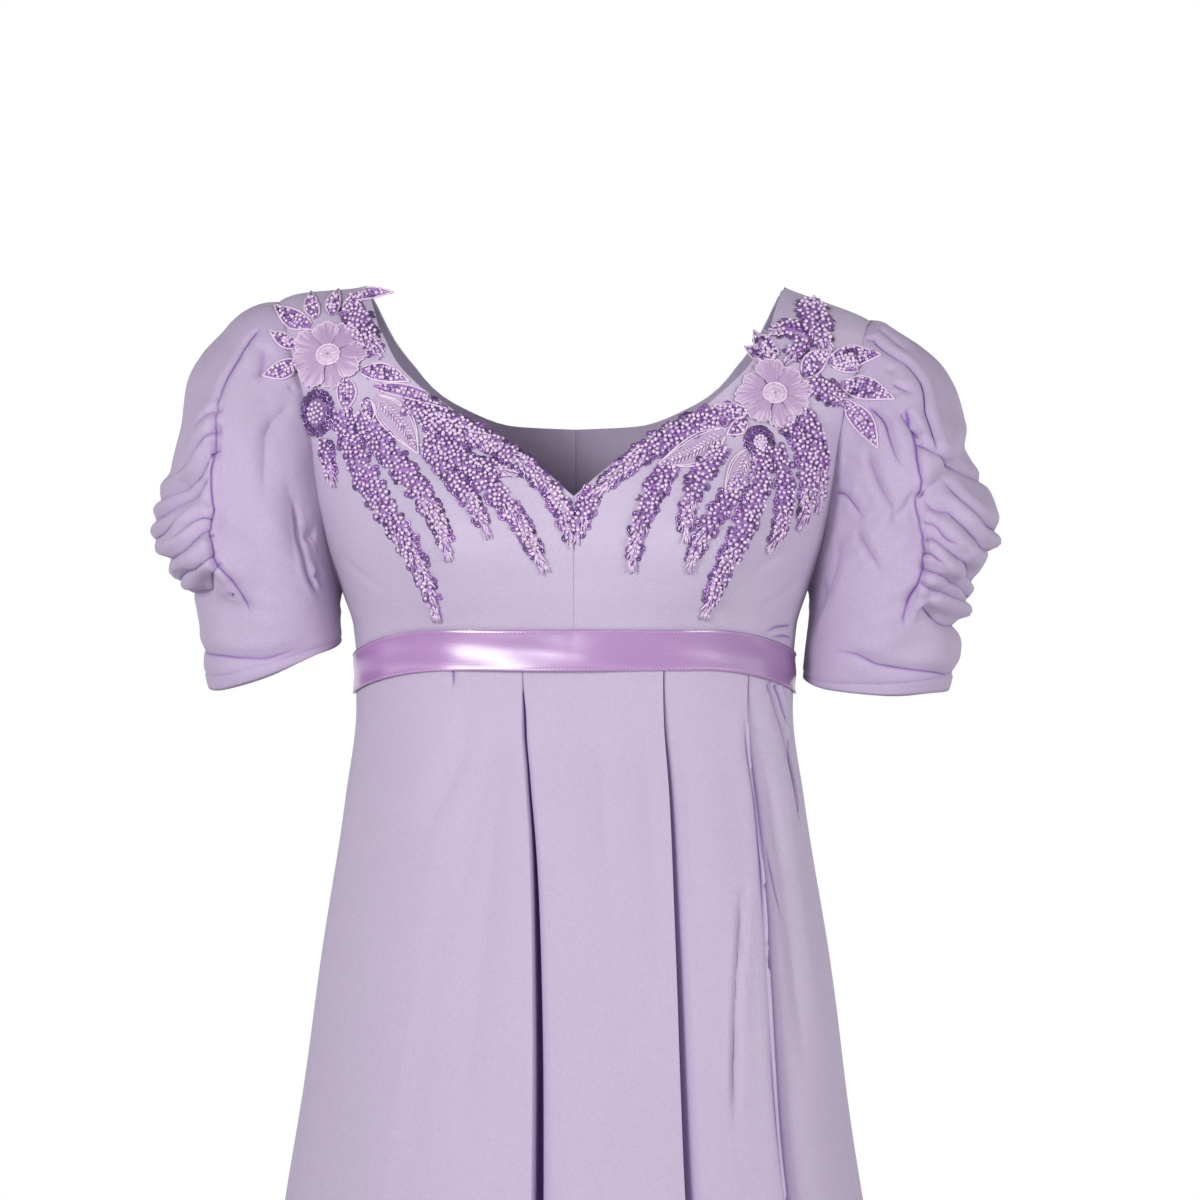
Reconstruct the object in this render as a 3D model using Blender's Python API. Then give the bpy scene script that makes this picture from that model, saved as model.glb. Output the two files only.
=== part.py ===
"""Regency gown: a floor-length dress with an empire waist, a wide V neck and short puff sleeves.

Units are metres, +Z is up and the front of the gown faces -Y. The origin is level with the tops
of the shoulder straps, above the middle of the waist, so the whole gown hangs below it.
Left and right are the wearer's: the left side of the gown is at +X.

The body of the gown is one closed surface, body(angle, height). Angle runs round the waist from
the centre front (0) past the side (90 degrees) to the centre back (180 degrees). Each panel is a
patch of that surface between named edges, given a wall. The sleeves are tubes of curved columns
from the armholes to the cuffs, and the beaded motifs are slabs laid on the panels.
"""
import math

import bmesh
import bpy
import numpy as np
from mathutils import Vector
from mathutils.bvhtree import BVHTree
from mathutils.geometry import delaunay_2d_cdt

# ---- driving dimensions ---------------------------------------------------------------------
WALL = 0.0016            # bodice and sleeve cloth
SKIRT_WALL = 0.0018      # skirt cloth
RIBBON_WALL = 0.0010     # satin band
MOTIF_WALL = 0.0018      # beaded motif
SEAM_GAP = 0.0003        # between pieces that meet or lie on each other
HEM = -1.420             # height of the floor-length hem
RIBBON_HEIGHT = 0.0250
WAIST_FRONT = -0.228     # middle of the ribbon at the centre front
WAIST_SIDE = -0.2445     # and at the sides and back
ARCH_SPREAD = 0.75       # the arch is full where the cosine of the angle passes this
SHOULDER_RAISE = 0.012   # the right shoulder is carried this much higher

# Horizontal sections through the gown. Power 2 is an ellipse, more is squarer.
BODY_COLUMNS = ("height", "half_width", "front", "back", "centre", "power")
BODY = (
    (-1.420, 0.296, 0.262, 0.268, 0.000, 2.0),
    (-1.200, 0.268, 0.236, 0.240, 0.000, 2.0),
    (-0.900, 0.229, 0.196, 0.198, 0.000, 2.0),
    (-0.576, 0.182, 0.150, 0.150, 0.000, 2.1),
    (-0.450, 0.163, 0.129, 0.126, 0.000, 2.2),
    (-0.324, 0.146, 0.107, 0.100, 0.000, 2.3),
    (-0.262, 0.137, 0.096, 0.086, 0.000, 2.3),
    (-0.243, 0.137, 0.096, 0.085, 0.000, 2.3),
    (-0.215, 0.139, 0.101, 0.088, 0.000, 2.3),
    (-0.193, 0.146, 0.108, 0.092, 0.000, 2.3),
    (-0.160, 0.158, 0.115, 0.096, 0.000, 2.3),
    (-0.130, 0.168, 0.112, 0.098, 0.000, 2.3),
    (-0.100, 0.177, 0.102, 0.098, 0.001, 2.3),
    (-0.060, 0.193, 0.086, 0.090, 0.003, 2.3),
    (-0.045, 0.199, 0.077, 0.081, 0.005, 2.3),
    (-0.032, 0.197, 0.066, 0.070, 0.006, 2.3),
    (-0.021, 0.185, 0.054, 0.058, 0.007, 2.3),
    (-0.010, 0.158, 0.039, 0.041, 0.008, 2.3),
    (-0.003, 0.138, 0.023, 0.024, 0.008, 2.3),
    (0.000, 0.131, 0.012, 0.012, 0.008, 2.3),
)
BUST_X, BUST_HEIGHT, BUST_SPREAD, BUST_FULLNESS = 0.078, -0.168, 0.032, 0.017

# Necklines as distance from the centre and height; the strap tops are at the last point.
NECK_FRONT = ((0.000, -0.136), (0.018, -0.120), (0.045, -0.101), (0.073, -0.085),
              (0.102, -0.060), (0.117, -0.036), (0.125, -0.016), (0.129, -0.005),
              (0.1305, -0.0005))
NECK_BACK = ((0.000, -0.086), (0.040, -0.084), (0.080, -0.069), (0.108, -0.042),
             (0.123, -0.018), (0.129, -0.005), (0.1305, -0.0005))
# Shoulder seam and armholes, as angle round the body in degrees and height.
SHOULDER = ((90, -0.0005), (90, -0.010), (90, -0.021))
ARMHOLE_FRONT = ((90, -0.021), (83, -0.026), (78.5, -0.038), (76, -0.056), (74, -0.080),
                 (73.5, -0.106), (75, -0.138), (78.5, -0.166), (84, -0.186), (90, -0.193))
ARMHOLE_BACK = ((90, -0.021), (97, -0.027), (101, -0.040), (104, -0.060), (106, -0.086),
                (106.5, -0.112), (105, -0.142), (101.5, -0.168), (96, -0.187), (90, -0.193))

ARMHOLE_MIDDLE = -0.107
BODY_SCALE = (0.150, 1.0)    # metres for a radian round the body and for a metre of height

# Pleats: angle at the waist, at half drop and at the hem; depth at the waist, at half drop and
# at the hem; width of the groove at the waist, half drop and hem; side that laps over (+1 is the
# side away from the centre front in the direction of growing angle).
PLEAT_COLUMNS = ("waist", "middle", "hem", "waist_depth", "middle_depth", "hem_depth",
                 "waist_width", "middle_width", "hem_width", "lap")
PLEAT_HEIGHTS = (-1.420, -0.560, -0.256)
PLEATS = (
    (-162, -161, -161, 0.0035, 0.011, 0.030, 0.007, 0.012, 0.030, 1),
    (-141, -141, -143, 0.0030, 0.008, 0.026, 0.007, 0.011, 0.028, 1),
    (-120, -122, -125, 0.0030, 0.010, 0.028, 0.007, 0.012, 0.030, -1),
    (-98, -101, -105, 0.0025, 0.006, 0.024, 0.007, 0.011, 0.028, -1),
    (-76, -74, -68, 0.0015, 0.006, 0.022, 0.007, 0.012, 0.030, 1),
    (-40, -44, -44, 0.0022, 0.003, 0.018, 0.007, 0.014, 0.034, -1),
    (-18, -8, -6, 0.0035, 0.012, 0.030, 0.006, 0.010, 0.028, -1),
    (32, 27, 25, 0.0040, 0.010, 0.028, 0.006, 0.010, 0.028, -1),
    (56, 53, 48, 0.0035, 0.010, 0.026, 0.006, 0.011, 0.028, -1),
    (74, 72, 70, 0.0030, 0.008, 0.024, 0.006, 0.011, 0.026, -1),
    (98, 101, 105, 0.0025, 0.006, 0.024, 0.007, 0.011, 0.028, 1),
    (119, 121, 124, 0.0030, 0.010, 0.028, 0.007, 0.012, 0.030, 1),
    (141, 141, 142, 0.0030, 0.008, 0.026, 0.007, 0.011, 0.028, -1),
    (162, 161, 161, 0.0035, 0.011, 0.030, 0.007, 0.012, 0.030, -1),
)
PLEAT_START = 0.0015     # below the ribbon
PLEAT_FADE = 0.030       # the pleats reach their depth over this drop
PLEATS_FROM = -0.262     # height of the first row that follows them
PLEAT_REACH = (2.1, 1.6) # a groove's far side and its lip lie this many widths from its middle
PLEAT_SHARE = 0.42       # and at most this share of the way to the next pleat or seam
LIP = 0.34               # the lapping edge stands out by this share of the groove's depth

# Sleeve columns, every 45 degrees round the arm from the outside (0) past the front (90).
# "leave" is the pull out of the armhole, "cuff" the point at the hem, "arrive" the pull above it.
SLEEVE_COLUMNS = ("leave_x", "leave_y", "leave_z", "cuff_x", "cuff_y", "cuff_z",
                  "arrive_x", "arrive_y", "arrive_z")
SLEEVES = {
    "left": (
        (0.070, 0.000, 0.002, 0.236, 0.004, -0.254, 0.018, 0.000, 0.074),
        (0.046, -0.030, 0.004, 0.223, -0.033, -0.256, 0.016, -0.026, 0.070),
        (0.022, -0.022, -0.012, 0.190, -0.047, -0.257, 0.004, -0.022, 0.056),
        (0.006, -0.010, -0.012, 0.1555, -0.035, -0.253, 0.000, -0.014, 0.032),
        (0.003, 0.000, -0.012, 0.1440, 0.002, -0.247, 0.001, 0.000, 0.020),
        (0.006, 0.010, -0.010, 0.1545, 0.040, -0.246, 0.002, 0.012, 0.030),
        (0.022, 0.022, -0.004, 0.190, 0.056, -0.249, 0.006, 0.022, 0.054),
        (0.046, 0.030, 0.008, 0.223, 0.040, -0.252, 0.016, 0.026, 0.070),
    ),
    "right": (
        (0.078, 0.000, 0.004, 0.231, 0.004, -0.252, 0.020, 0.000, 0.068),
        (0.050, -0.030, 0.004, 0.219, -0.034, -0.254, 0.018, -0.028, 0.066),
        (0.022, -0.024, -0.010, 0.187, -0.050, -0.244, 0.006, -0.024, 0.054),
        (0.006, -0.012, -0.012, 0.155, -0.037, -0.230, 0.002, -0.014, 0.026),
        (0.003, 0.000, -0.012, 0.147, 0.002, -0.223, 0.001, 0.000, 0.012),
        (0.006, 0.010, -0.010, 0.156, 0.042, -0.229, 0.002, 0.012, 0.026),
        (0.022, 0.022, -0.004, 0.187, 0.058, -0.239, 0.006, 0.022, 0.052),
        (0.048, 0.030, 0.006, 0.219, 0.042, -0.249, 0.018, 0.028, 0.068),
    ),
}
# How far each sleeve stands out on the outside of the arm, at shares of the way down.
FULLNESS = {
    "left": ((0.00, 0.0000), (0.12, -0.0070), (0.20, -0.0020), (0.28, 0.0034), (0.35, 0.0053),
             (0.42, 0.0052), (0.48, -0.0018), (0.54, 0.0039), (0.60, 0.0138), (0.66, 0.0146),
             (0.72, 0.0023), (0.78, -0.0005), (0.84, -0.0018), (0.91, 0.0013), (1.00, 0.0000)),
    "right": ((0.00, 0.0000), (0.12, -0.0033), (0.20, -0.0037), (0.28, 0.0016), (0.35, 0.0049),
              (0.42, 0.0039), (0.48, 0.0033), (0.54, 0.0027), (0.60, 0.0114), (0.66, 0.0151),
              (0.72, 0.0046), (0.78, -0.0050), (0.84, -0.0036), (0.91, -0.0025), (1.00, 0.0000)),
}
# The gathered panel: folds fan out and down from a slash seam at the front of each sleeve.
# The seam is given by its degrees round the arm at the armhole and at the cuff, and by the
# share of the way down where it has turned to the second. The other values are shares of the
# way from armhole to cuff where the gathers begin and end, at the seam and outside the arm.
GATHERS = {
    "left": {"seam": (42, 74, 0.72), "at_seam": (0.34, 0.76), "outside": (0.49, 0.80)},
    "right": {"seam": (29, 74, 0.85), "at_seam": (0.33, 0.69), "outside": (0.57, 0.78)},
}
# Ridges of the gathers down the seam: share where each ends, how far it stands out, and how
# many degrees round the arm it runs.
RIDGE_COLUMNS = ("end", "height", "run")
RIDGES = {
    "left": ((0.17, 0.0100, 150), (0.31, 0.0085, 135), (0.40, 0.0045, 60), (0.56, 0.0085, 130),
             (0.64, 0.0045, 65), (0.80, 0.0080, 120), (0.88, 0.0040, 55), (1.00, 0.0070, 110)),
    "right": ((0.12, 0.0060, 90), (0.26, 0.0060, 80), (0.46, 0.0100, 150), (0.60, 0.0095, 140),
              (0.68, 0.0045, 60), (0.84, 0.0085, 120), (0.91, 0.0040, 55), (1.00, 0.0065, 110)),
}

# Beaded motifs as seen from the front: x and height of where each form starts, its length, its
# direction in degrees (0 is straight down, growing towards the left arm) and its width.
SPRAY_COLUMNS = ("x", "height", "length", "start_angle", "middle_angle", "end_angle", "width")
SPRAYS = {
    "right": (
        (-0.139, -0.016, 0.038, 22, 32, 38, 0.016),
        (-0.092, -0.088, 0.050, 72, 68, 62, 0.014),
        (-0.104, -0.080, 0.126, 74, 58, 30, 0.012),
        (-0.142, -0.082, 0.143, 14, 34, 12, 0.014),
        (-0.132, -0.084, 0.108, 38, 40, 6, 0.013),
        (-0.090, -0.104, 0.068, 42, 38, 20, 0.010),
        (-0.088, -0.098, 0.110, 56, 42, 20, 0.012),
        (-0.058, -0.116, 0.022, 72, 72, 72, 0.008),
        (-0.158, -0.090, 0.034, 10, 14, 14, 0.008),
        (-0.0125, -0.131, 0.030, 16, 10, 4, 0.010),
    ),
    "left": (
        (0.145, -0.010, 0.036, 16, 14, 10, 0.018),
        (0.138, -0.029, 0.020, -74, -74, -74, 0.009),
        (0.141, -0.039, 0.016, -40, -42, -42, 0.011),
        (0.144, -0.065, 0.027, 60, 66, 70, 0.013),
        (0.096, -0.084, 0.101, -76, -57, -44, 0.013),
        (0.058, -0.118, 0.066, -36, -22, 0, 0.011),
        (0.090, -0.106, 0.062, -46, -24, 4, 0.011),
        (0.100, -0.126, 0.062, -36, -34, -14, 0.010),
        (0.113, -0.106, 0.109, 2, -26, -20, 0.013),
        (0.122, -0.106, 0.064, 24, -4, -30, 0.011),
        (0.128, -0.091, 0.068, 54, 2, -20, 0.011),
        (0.138, -0.083, 0.063, 46, 4, -8, 0.010),
        (0.0125, -0.131, 0.026, -18, -12, -6, 0.009),
    ),
}
LEAF_COLUMNS = ("x", "height", "length", "angle", "width")
LEAVES = {
    "right": (
        (-0.163, -0.029, 0.029, -121, 0.012), (-0.160, -0.024, 0.020, -164, 0.009),
        (-0.150, -0.022, 0.019, 176, 0.009), (-0.142, -0.022, 0.020, 150, 0.009),
        (-0.143, -0.0105, 0.030, 98, 0.008), (-0.170, -0.041, 0.021, -116, 0.009),
        (-0.172, -0.051, 0.022, -64, 0.011), (-0.130, -0.058, 0.031, 76, 0.011),
        (-0.140, -0.062, 0.022, 0, 0.012), (-0.121, -0.075, 0.045, 38, 0.018),
        (-0.122, -0.068, 0.052, 72, 0.008), (-0.128, -0.076, 0.015, 20, 0.009),
    ),
    "left": (
        (0.140, -0.061, 0.024, 134, 0.013), (0.1233, -0.0503, 0.020, -116, 0.009),
        (0.124, -0.050, 0.023, -146, 0.010), (0.156, -0.052, 0.034, 99, 0.014),
        (0.157, -0.052, 0.019, 75, 0.009), (0.164, -0.065, 0.034, 73, 0.014),
        (0.167, -0.076, 0.035, 33, 0.012), (0.105, -0.0845, 0.021, -101, 0.009),
        (0.104, -0.089, 0.015, -52, 0.009), (0.090, -0.097, 0.044, -63, 0.018),
        (0.106, -0.108, 0.031, -31, 0.016),
    ),
}
# Round forms: x, height, half width, half height, petals (0 is a plain bead) and how far the
# middle stands up.
ROUND_COLUMNS = ("x", "height", "half_width", "half_height", "petals", "rise")
ROUNDS = {
    "right": ((-0.1505, -0.048, 0.0235, 0.0205, 8, 0.0018),
              (-0.1575, -0.083, 0.0100, 0.0135, 0, 0.0030)),
    "left": ((0.1215, -0.0725, 0.0240, 0.0205, 8, 0.0018),
             (0.112, -0.103, 0.0080, 0.0090, 0, 0.0018)),
}

# ---- curves and tables ----------------------------------------------------------------------


def cubic(places, values, at):
    """Shape-keeping cubic through (places, values), with places growing, read at any places."""
    places = np.asarray(places, float)
    values = np.asarray(values, float)
    step = np.diff(places)
    slope = np.diff(values) / step
    product = slope[1:] * slope[:-1]
    total = np.where(product > 0, slope[1:] + slope[:-1], 1.0)
    inner = np.where(product > 0, 2 * product / total, 0.0)
    tangent = np.concatenate(([slope[0]], inner, [slope[-1]]))
    index = np.clip(np.searchsorted(places, at) - 1, 0, len(step) - 1)
    t = np.clip((at - places[index]) / step[index], 0, 1)
    return (values[index] * (1 + 2 * t) * (1 - t) ** 2 + values[index + 1] * t * t * (3 - 2 * t)
            + step[index] * tangent[index] * t * (1 - t) ** 2
            + step[index] * tangent[index + 1] * t * t * (t - 1))


def read(table, columns, name, at):
    """One column of a table whose first column is the height."""
    column = columns.index(name)
    return cubic([row[0] for row in table], [row[column] for row in table], at)


def along(points, t):
    """Smooth path through (angle in degrees, height) points, t from 0 to 1 by length."""
    points = np.asarray(points, float)
    scaled = points * (math.radians(BODY_SCALE[0]), 1.0)
    length = np.concatenate(([0], np.cumsum(np.linalg.norm(np.diff(scaled, axis=0), axis=1))))
    length /= length[-1]
    return np.stack([np.radians(cubic(length, points[:, 0], t)),
                     cubic(length, points[:, 1], t)], -1)


def neckline(points, back):
    """Neckline points as (angle in degrees, height) on the body."""
    edge = []
    for x, height in points:
        half_width, front, rear, _, power = (
            float(read(BODY, BODY_COLUMNS, name, height)) for name in BODY_COLUMNS[1:])
        depth = (rear if back else front) * max(0, 1 - (x / half_width) ** power) ** (1 / power)
        angle = math.degrees(math.atan2(x, depth))
        edge.append((180 - angle if back else angle, height))
    edge[-1] = (90, points[-1][1])
    return edge


def smoothstep(value):
    """0 below 0, 1 above 1 and a smooth rise between."""
    value = np.clip(value, 0, 1)
    return value * value * (3 - 2 * value)


# ---- surfaces -------------------------------------------------------------------------------


def waist(angle):
    """Height of the waist seam, which arches up over the front."""
    arch = smoothstep(np.cos(angle) / ARCH_SPREAD)
    return WAIST_SIDE + (WAIST_FRONT - WAIST_SIDE) * arch


def body(angle, height):
    """Point of the gown's body surface, without pleats."""
    half_width, front, back, centre, power = (
        read(BODY, BODY_COLUMNS, name, height) for name in BODY_COLUMNS[1:])
    sine, cosine = np.sin(angle), np.cos(angle)
    depth = np.where(cosine >= 0, front, back)
    reach = (np.abs(sine / half_width) ** power
             + np.abs(cosine / depth) ** power) ** (-1 / power)
    x = reach * sine
    off_bust = (np.abs(x) - BUST_X) ** 2 + (height - BUST_HEIGHT) ** 2
    bust = BUST_FULLNESS * np.exp(-off_bust / (2 * BUST_SPREAD ** 2)) * np.clip(cosine, 0, 1)
    y = centre - reach * cosine - bust
    lift = smoothstep((-x - 0.120) / 0.065) * smoothstep((height + 0.150) / 0.110)
    return np.stack([x, y, height + SHOULDER_RAISE * lift], -1)


def pleat(row, height, name):
    """One property of a pleat at the given heights."""
    column = PLEAT_COLUMNS.index(name)
    return cubic(PLEAT_HEIGHTS, [row[column + 2], row[column + 1], row[column]], height)


def pleat_depth(angle, height):
    """How far the pleats push the skirt in (negative) or out (positive)."""
    start = smoothstep((waist(angle) - RIBBON_HEIGHT / 2 - PLEAT_START - height) / PLEAT_FADE)
    reach = np.linalg.norm(body(angle, height)[..., :2], axis=-1)
    push = np.zeros_like(reach)
    for row in PLEATS:
        centre = np.radians(pleat(row, height, "waist"))
        depth = pleat(row, height, "waist_depth")
        width = pleat(row, height, "waist_width")
        lap = row[PLEAT_COLUMNS.index("lap")]
        turn = (angle - centre + math.pi) % (2 * math.pi) - math.pi
        off = turn * reach / width * lap
        side = np.where(off > 0, 0.75, 1.9)
        push += depth * (LIP * np.exp(-((off - 1.7) / 1.3) ** 2) - np.exp(-(off / side) ** 2))
    return push * start


def skirt(angle, height):
    """Point of the pleated skirt."""
    push = pleat_depth(angle, height)[..., None]
    return body(angle, height) + push * np.stack([np.sin(angle), -np.cos(angle), 0 * angle], -1)


def normal(surface, u, v, step=2e-4):
    """Unit normal of surface(u, v), pointing to the side that u cross v gives."""
    along_u = surface(u + step, v) - surface(u - step, v)
    along_v = surface(u, v + step) - surface(u, v - step)
    cross = np.cross(along_u, along_v)
    return cross / np.linalg.norm(cross, axis=-1, keepdims=True)


def body_out(angle, height):
    """Outward normal of the body surface; the step stays inside the table at the strap tops."""
    return normal(body, angle, np.minimum(height, -4e-4))


def armhole(side, turn):
    """Edge of the armhole on the body, turn in degrees from the shoulder past the front."""
    front = along(ARMHOLE_FRONT, np.clip(turn / 180, 0, 1))
    back = along(ARMHOLE_BACK, np.clip((360 - turn) / 180, 0, 1))
    edge = np.where((turn <= 180)[..., None], front, back)
    edge[..., 0] *= side
    return edge


def round_table(rows, column, turn):
    """Column of a table with equally spaced rows round a loop, read between its rows."""
    values = np.array([row[column] for row in rows])
    place = (turn % 360) / 360 * len(rows)
    index = np.floor(place).astype(int)
    t = place - index
    before, here, after, later = (values[(index + shift) % len(rows)] for shift in (-1, 0, 1, 2))
    return here + t / 2 * (after - before + t * (
        2 * before - 5 * here + 4 * after - later + t * (3 * (here - after) + later - before)))


def sleeve_base(name, turn, drop):
    """Point of a sleeve before its gathers, drop from 0 at the armhole to 1 at the cuff."""
    side = 1 if name == "left" else -1
    edge = armhole(side, turn % 360)
    middle = np.array([side * math.radians(90), ARMHOLE_MIDDLE])
    inward = (middle - edge) * BODY_SCALE
    inward /= np.linalg.norm(inward, axis=-1, keepdims=True)
    edge = edge + inward * (2 * SEAM_GAP) / BODY_SCALE
    start = body(edge[..., 0], edge[..., 1]) + SEAM_GAP * body_out(edge[..., 0], edge[..., 1])
    leave, cuff, arrive = (
        np.stack([round_table(SLEEVES[name], first + axis, turn) for axis in range(3)], -1)
        for first in (0, 3, 6))
    mirror = np.array([side, 1, 1])
    first, second, end = start + leave * mirror, (cuff + arrive) * mirror, cuff * mirror
    t = drop[..., None]
    full = cubic(*zip(*FULLNESS[name]), drop)
    lean = np.radians(turn - 20)
    swell = np.stack([side * np.cos(lean), -np.sin(lean), 0 * lean], -1)
    swell *= (full * smoothstep(0.5 + np.cos(lean)) * smoothstep(drop * (1 - drop) * 12))[..., None]
    return ((1 - t) ** 3 * start + 3 * (1 - t) ** 2 * t * first
            + 3 * (1 - t) * t * t * second + t ** 3 * end + swell)


def seam_turn(name, drop):
    """Degrees round the arm where the slash seam lies."""
    top, low, settled = GATHERS[name]["seam"]
    return top + (low - top) * smoothstep(drop / settled)


def gather_limits(name, away):
    """Shares of the way down where the gathers begin and end, away degrees from the seam."""
    fan = smoothstep(away / 75)
    at_seam, outside = GATHERS[name]["at_seam"], GATHERS[name]["outside"]
    return tuple(near + (far - near) * fan for near, far in zip(at_seam, outside))


def gathers(name, away, drop):
    """How far the gathers stand out of the sleeve, away degrees outward from the seam."""
    top, low = gather_limits(name, away)
    place = (drop - top) / (low - top)
    push = np.zeros_like(place)
    start = 0.0
    for end, height, run in RIDGES[name]:
        inside = (place >= start) & (place < end)
        arc = np.sin(math.pi * np.clip((place - start) / (end - start), 0, 1)) ** 0.8
        reach = smoothstep((away + 2) / 12) * (1 - smoothstep((away - 0.45 * run) / (0.7 * run)))
        push = np.where(inside, height * (arc - 0.35) * reach, push)
        start = end
    ends = smoothstep(1 + (drop - top) / 0.05) * smoothstep(1 + (low - drop) / 0.03)
    between = np.where((place < 0) | (place > 1), -0.35 * RIDGES[name][0][1] * ends, push)
    fade = smoothstep((away + 2) / 12) * (1 - smoothstep((away - 60) / 80))
    return np.where((place < 0) | (place > 1), between * fade, push)


def sleeve_turned(name, away, drop):
    """Point of a sleeve before its gathers, away degrees outward from the slash seam."""
    return sleeve_base(name, seam_turn(name, drop) - away, drop)


def outward(surface, name, away, drop):
    """Unit normal of a sleeve surface, pointing away from the arm."""
    low, high = np.maximum(drop - 1e-3, 0), np.minimum(drop + 1e-3, 1)
    cross = np.cross(surface(name, away - 1, drop) - surface(name, away + 1, drop),
                     surface(name, away, high) - surface(name, away, low))
    cross *= 1 if name == "left" else -1
    return cross / np.linalg.norm(cross, axis=-1, keepdims=True)


def sleeve(name, away, drop):
    """Point of a sleeve with its gathers."""
    return (sleeve_turned(name, away, drop)
            + gathers(name, away, drop)[..., None] * outward(sleeve_turned, name, away, drop))


# ---- solids ---------------------------------------------------------------------------------


def new_object(name, points, faces, colour, roughness=0.75, sheen=0.3):
    """One named object with its own material, shaded smooth over soft edges."""
    mesh = bpy.data.meshes.new(name)
    mesh.from_pydata([tuple(point) for point in points], [], faces)
    tidy = bmesh.new()
    tidy.from_mesh(mesh)
    bmesh.ops.recalc_face_normals(tidy, faces=tidy.faces)
    if tidy.calc_volume(signed=True) < 0:
        bmesh.ops.reverse_faces(tidy, faces=tidy.faces)
    bmesh.ops.triangulate(tidy, faces=tidy.faces)
    tidy.to_mesh(mesh)
    tidy.free()
    mesh.shade_smooth()
    mesh.set_sharp_from_angle(angle=math.radians(45))
    item = bpy.data.objects.new(name, mesh)
    bpy.context.collection.objects.link(item)
    item.data.materials.append(cloth(name, colour, roughness, sheen))
    return item


def cloth(name, colour, roughness, sheen):
    """Plain cloth material."""
    material = bpy.data.materials.new(name + "_cloth")
    material.use_nodes = True
    shader = material.node_tree.nodes["Principled BSDF"]
    shader.inputs["Base Color"].default_value = (*colour, 1)
    shader.inputs["Roughness"].default_value = roughness
    shader.inputs["Metallic"].default_value = 0.0
    shader.inputs["Sheen Weight"].default_value = sheen
    return material


def wall(name, outer, inner, colour, closed=False, **finish):
    """Solid between two grids of points, rows by columns; closed grids join round in columns."""
    rows, columns = outer.shape[:2]
    count = rows * columns
    points = np.concatenate([outer.reshape(-1, 3), inner.reshape(-1, 3)])
    spans = columns if closed else columns - 1
    faces = []

    def at(row, column, layer):
        return layer * count + row * columns + column % columns

    for row in range(rows - 1):
        for column in range(spans):
            loop = ((row, column), (row, column + 1), (row + 1, column + 1), (row + 1, column))
            faces.append([at(r, c, 0) for r, c in loop])
            faces.append([at(r, c, 1) for r, c in reversed(loop)])
    for row in (0, rows - 1):
        for column in range(spans):
            faces.append([at(row, column, 0), at(row, column + 1, 0),
                          at(row, column + 1, 1), at(row, column, 1)])
    if not closed:
        for column in (0, columns - 1):
            for row in range(rows - 1):
                faces.append([at(row, column, 0), at(row + 1, column, 0),
                              at(row + 1, column, 1), at(row, column, 1)])
    return new_object(name, points, faces, colour, **finish)


def patch(left, right, bottom, top, across, up):
    """Grid of (angle, height) filling four edge paths, each a function of 0 to 1."""
    u, v = across[None, :, None], up[:, None, None]
    corners = (bottom(np.array([0.0, 1.0])), top(np.array([0.0, 1.0])))
    blend = ((1 - u) * (1 - v) * corners[0][0] + u * (1 - v) * corners[0][1]
             + (1 - u) * v * corners[1][0] + u * v * corners[1][1])
    return ((1 - v) * bottom(across)[None] + v * top(across)[None]
            + (1 - u) * left(up)[:, None] + u * right(up)[:, None] - blend)


LILAC = (0.58, 0.48, 0.67)
ORCHID = (0.42, 0.24, 0.50)
BEADED = (0.50, 0.30, 0.58)

BODICE_ACROSS = 12
# Shares of the way from the waist to the shoulder seam where the panels' edges turn.
SIDE_SHARE = 0.22
NECK_SHARE = {False: 0.36, True: 0.62}       # front, back


def join_paths(first, second, share):
    """One edge path from two that meet, the first ending at the given share."""
    def path(t):
        low = first(np.clip(t / share, 0, 1))
        high = second(np.clip((t - share) / (1 - share), 0, 1))
        return np.where((t <= share)[:, None], low, high)
    return path


def bodice_grid(back, across, up):
    """Grid of (angle, height) for the left half of the bodice, front or back."""
    centre = math.radians(180 if back else 0)
    side = math.radians(90)
    neck = neckline(NECK_BACK if back else NECK_FRONT, back)
    hole = ARMHOLE_BACK if back else ARMHOLE_FRONT

    def upright(angle, top):
        def path(t):
            low = waist(angle) + SEAM_GAP / 2
            return np.stack([np.full_like(t, angle), low + (top - low) * t], -1)
        return path

    def bottom(t):
        angle = centre + (side - centre) * t
        return np.stack([angle, waist(angle) + SEAM_GAP / 2], -1)

    inner_edge = join_paths(upright(centre, neck[0][1]), lambda t: along(neck, t),
                            NECK_SHARE[back])
    outer_edge = join_paths(upright(side, hole[-1][1]), lambda t: along(hole, 1 - t), SIDE_SHARE)
    return patch(inner_edge, outer_edge, bottom, lambda t: along(SHOULDER, t), across, up)


def bodice_rows(back, fine):
    """Shares up a panel, with rows where its edges turn; fine is the rows per unit share."""
    turns = [0, SIDE_SHARE, NECK_SHARE[back], 1]
    rows = [np.linspace(low, high, max(3, round((high - low) * fine)) + 1)
            for low, high in zip(turns, turns[1:])]
    return np.unique(np.concatenate(rows).round(9))


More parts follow.
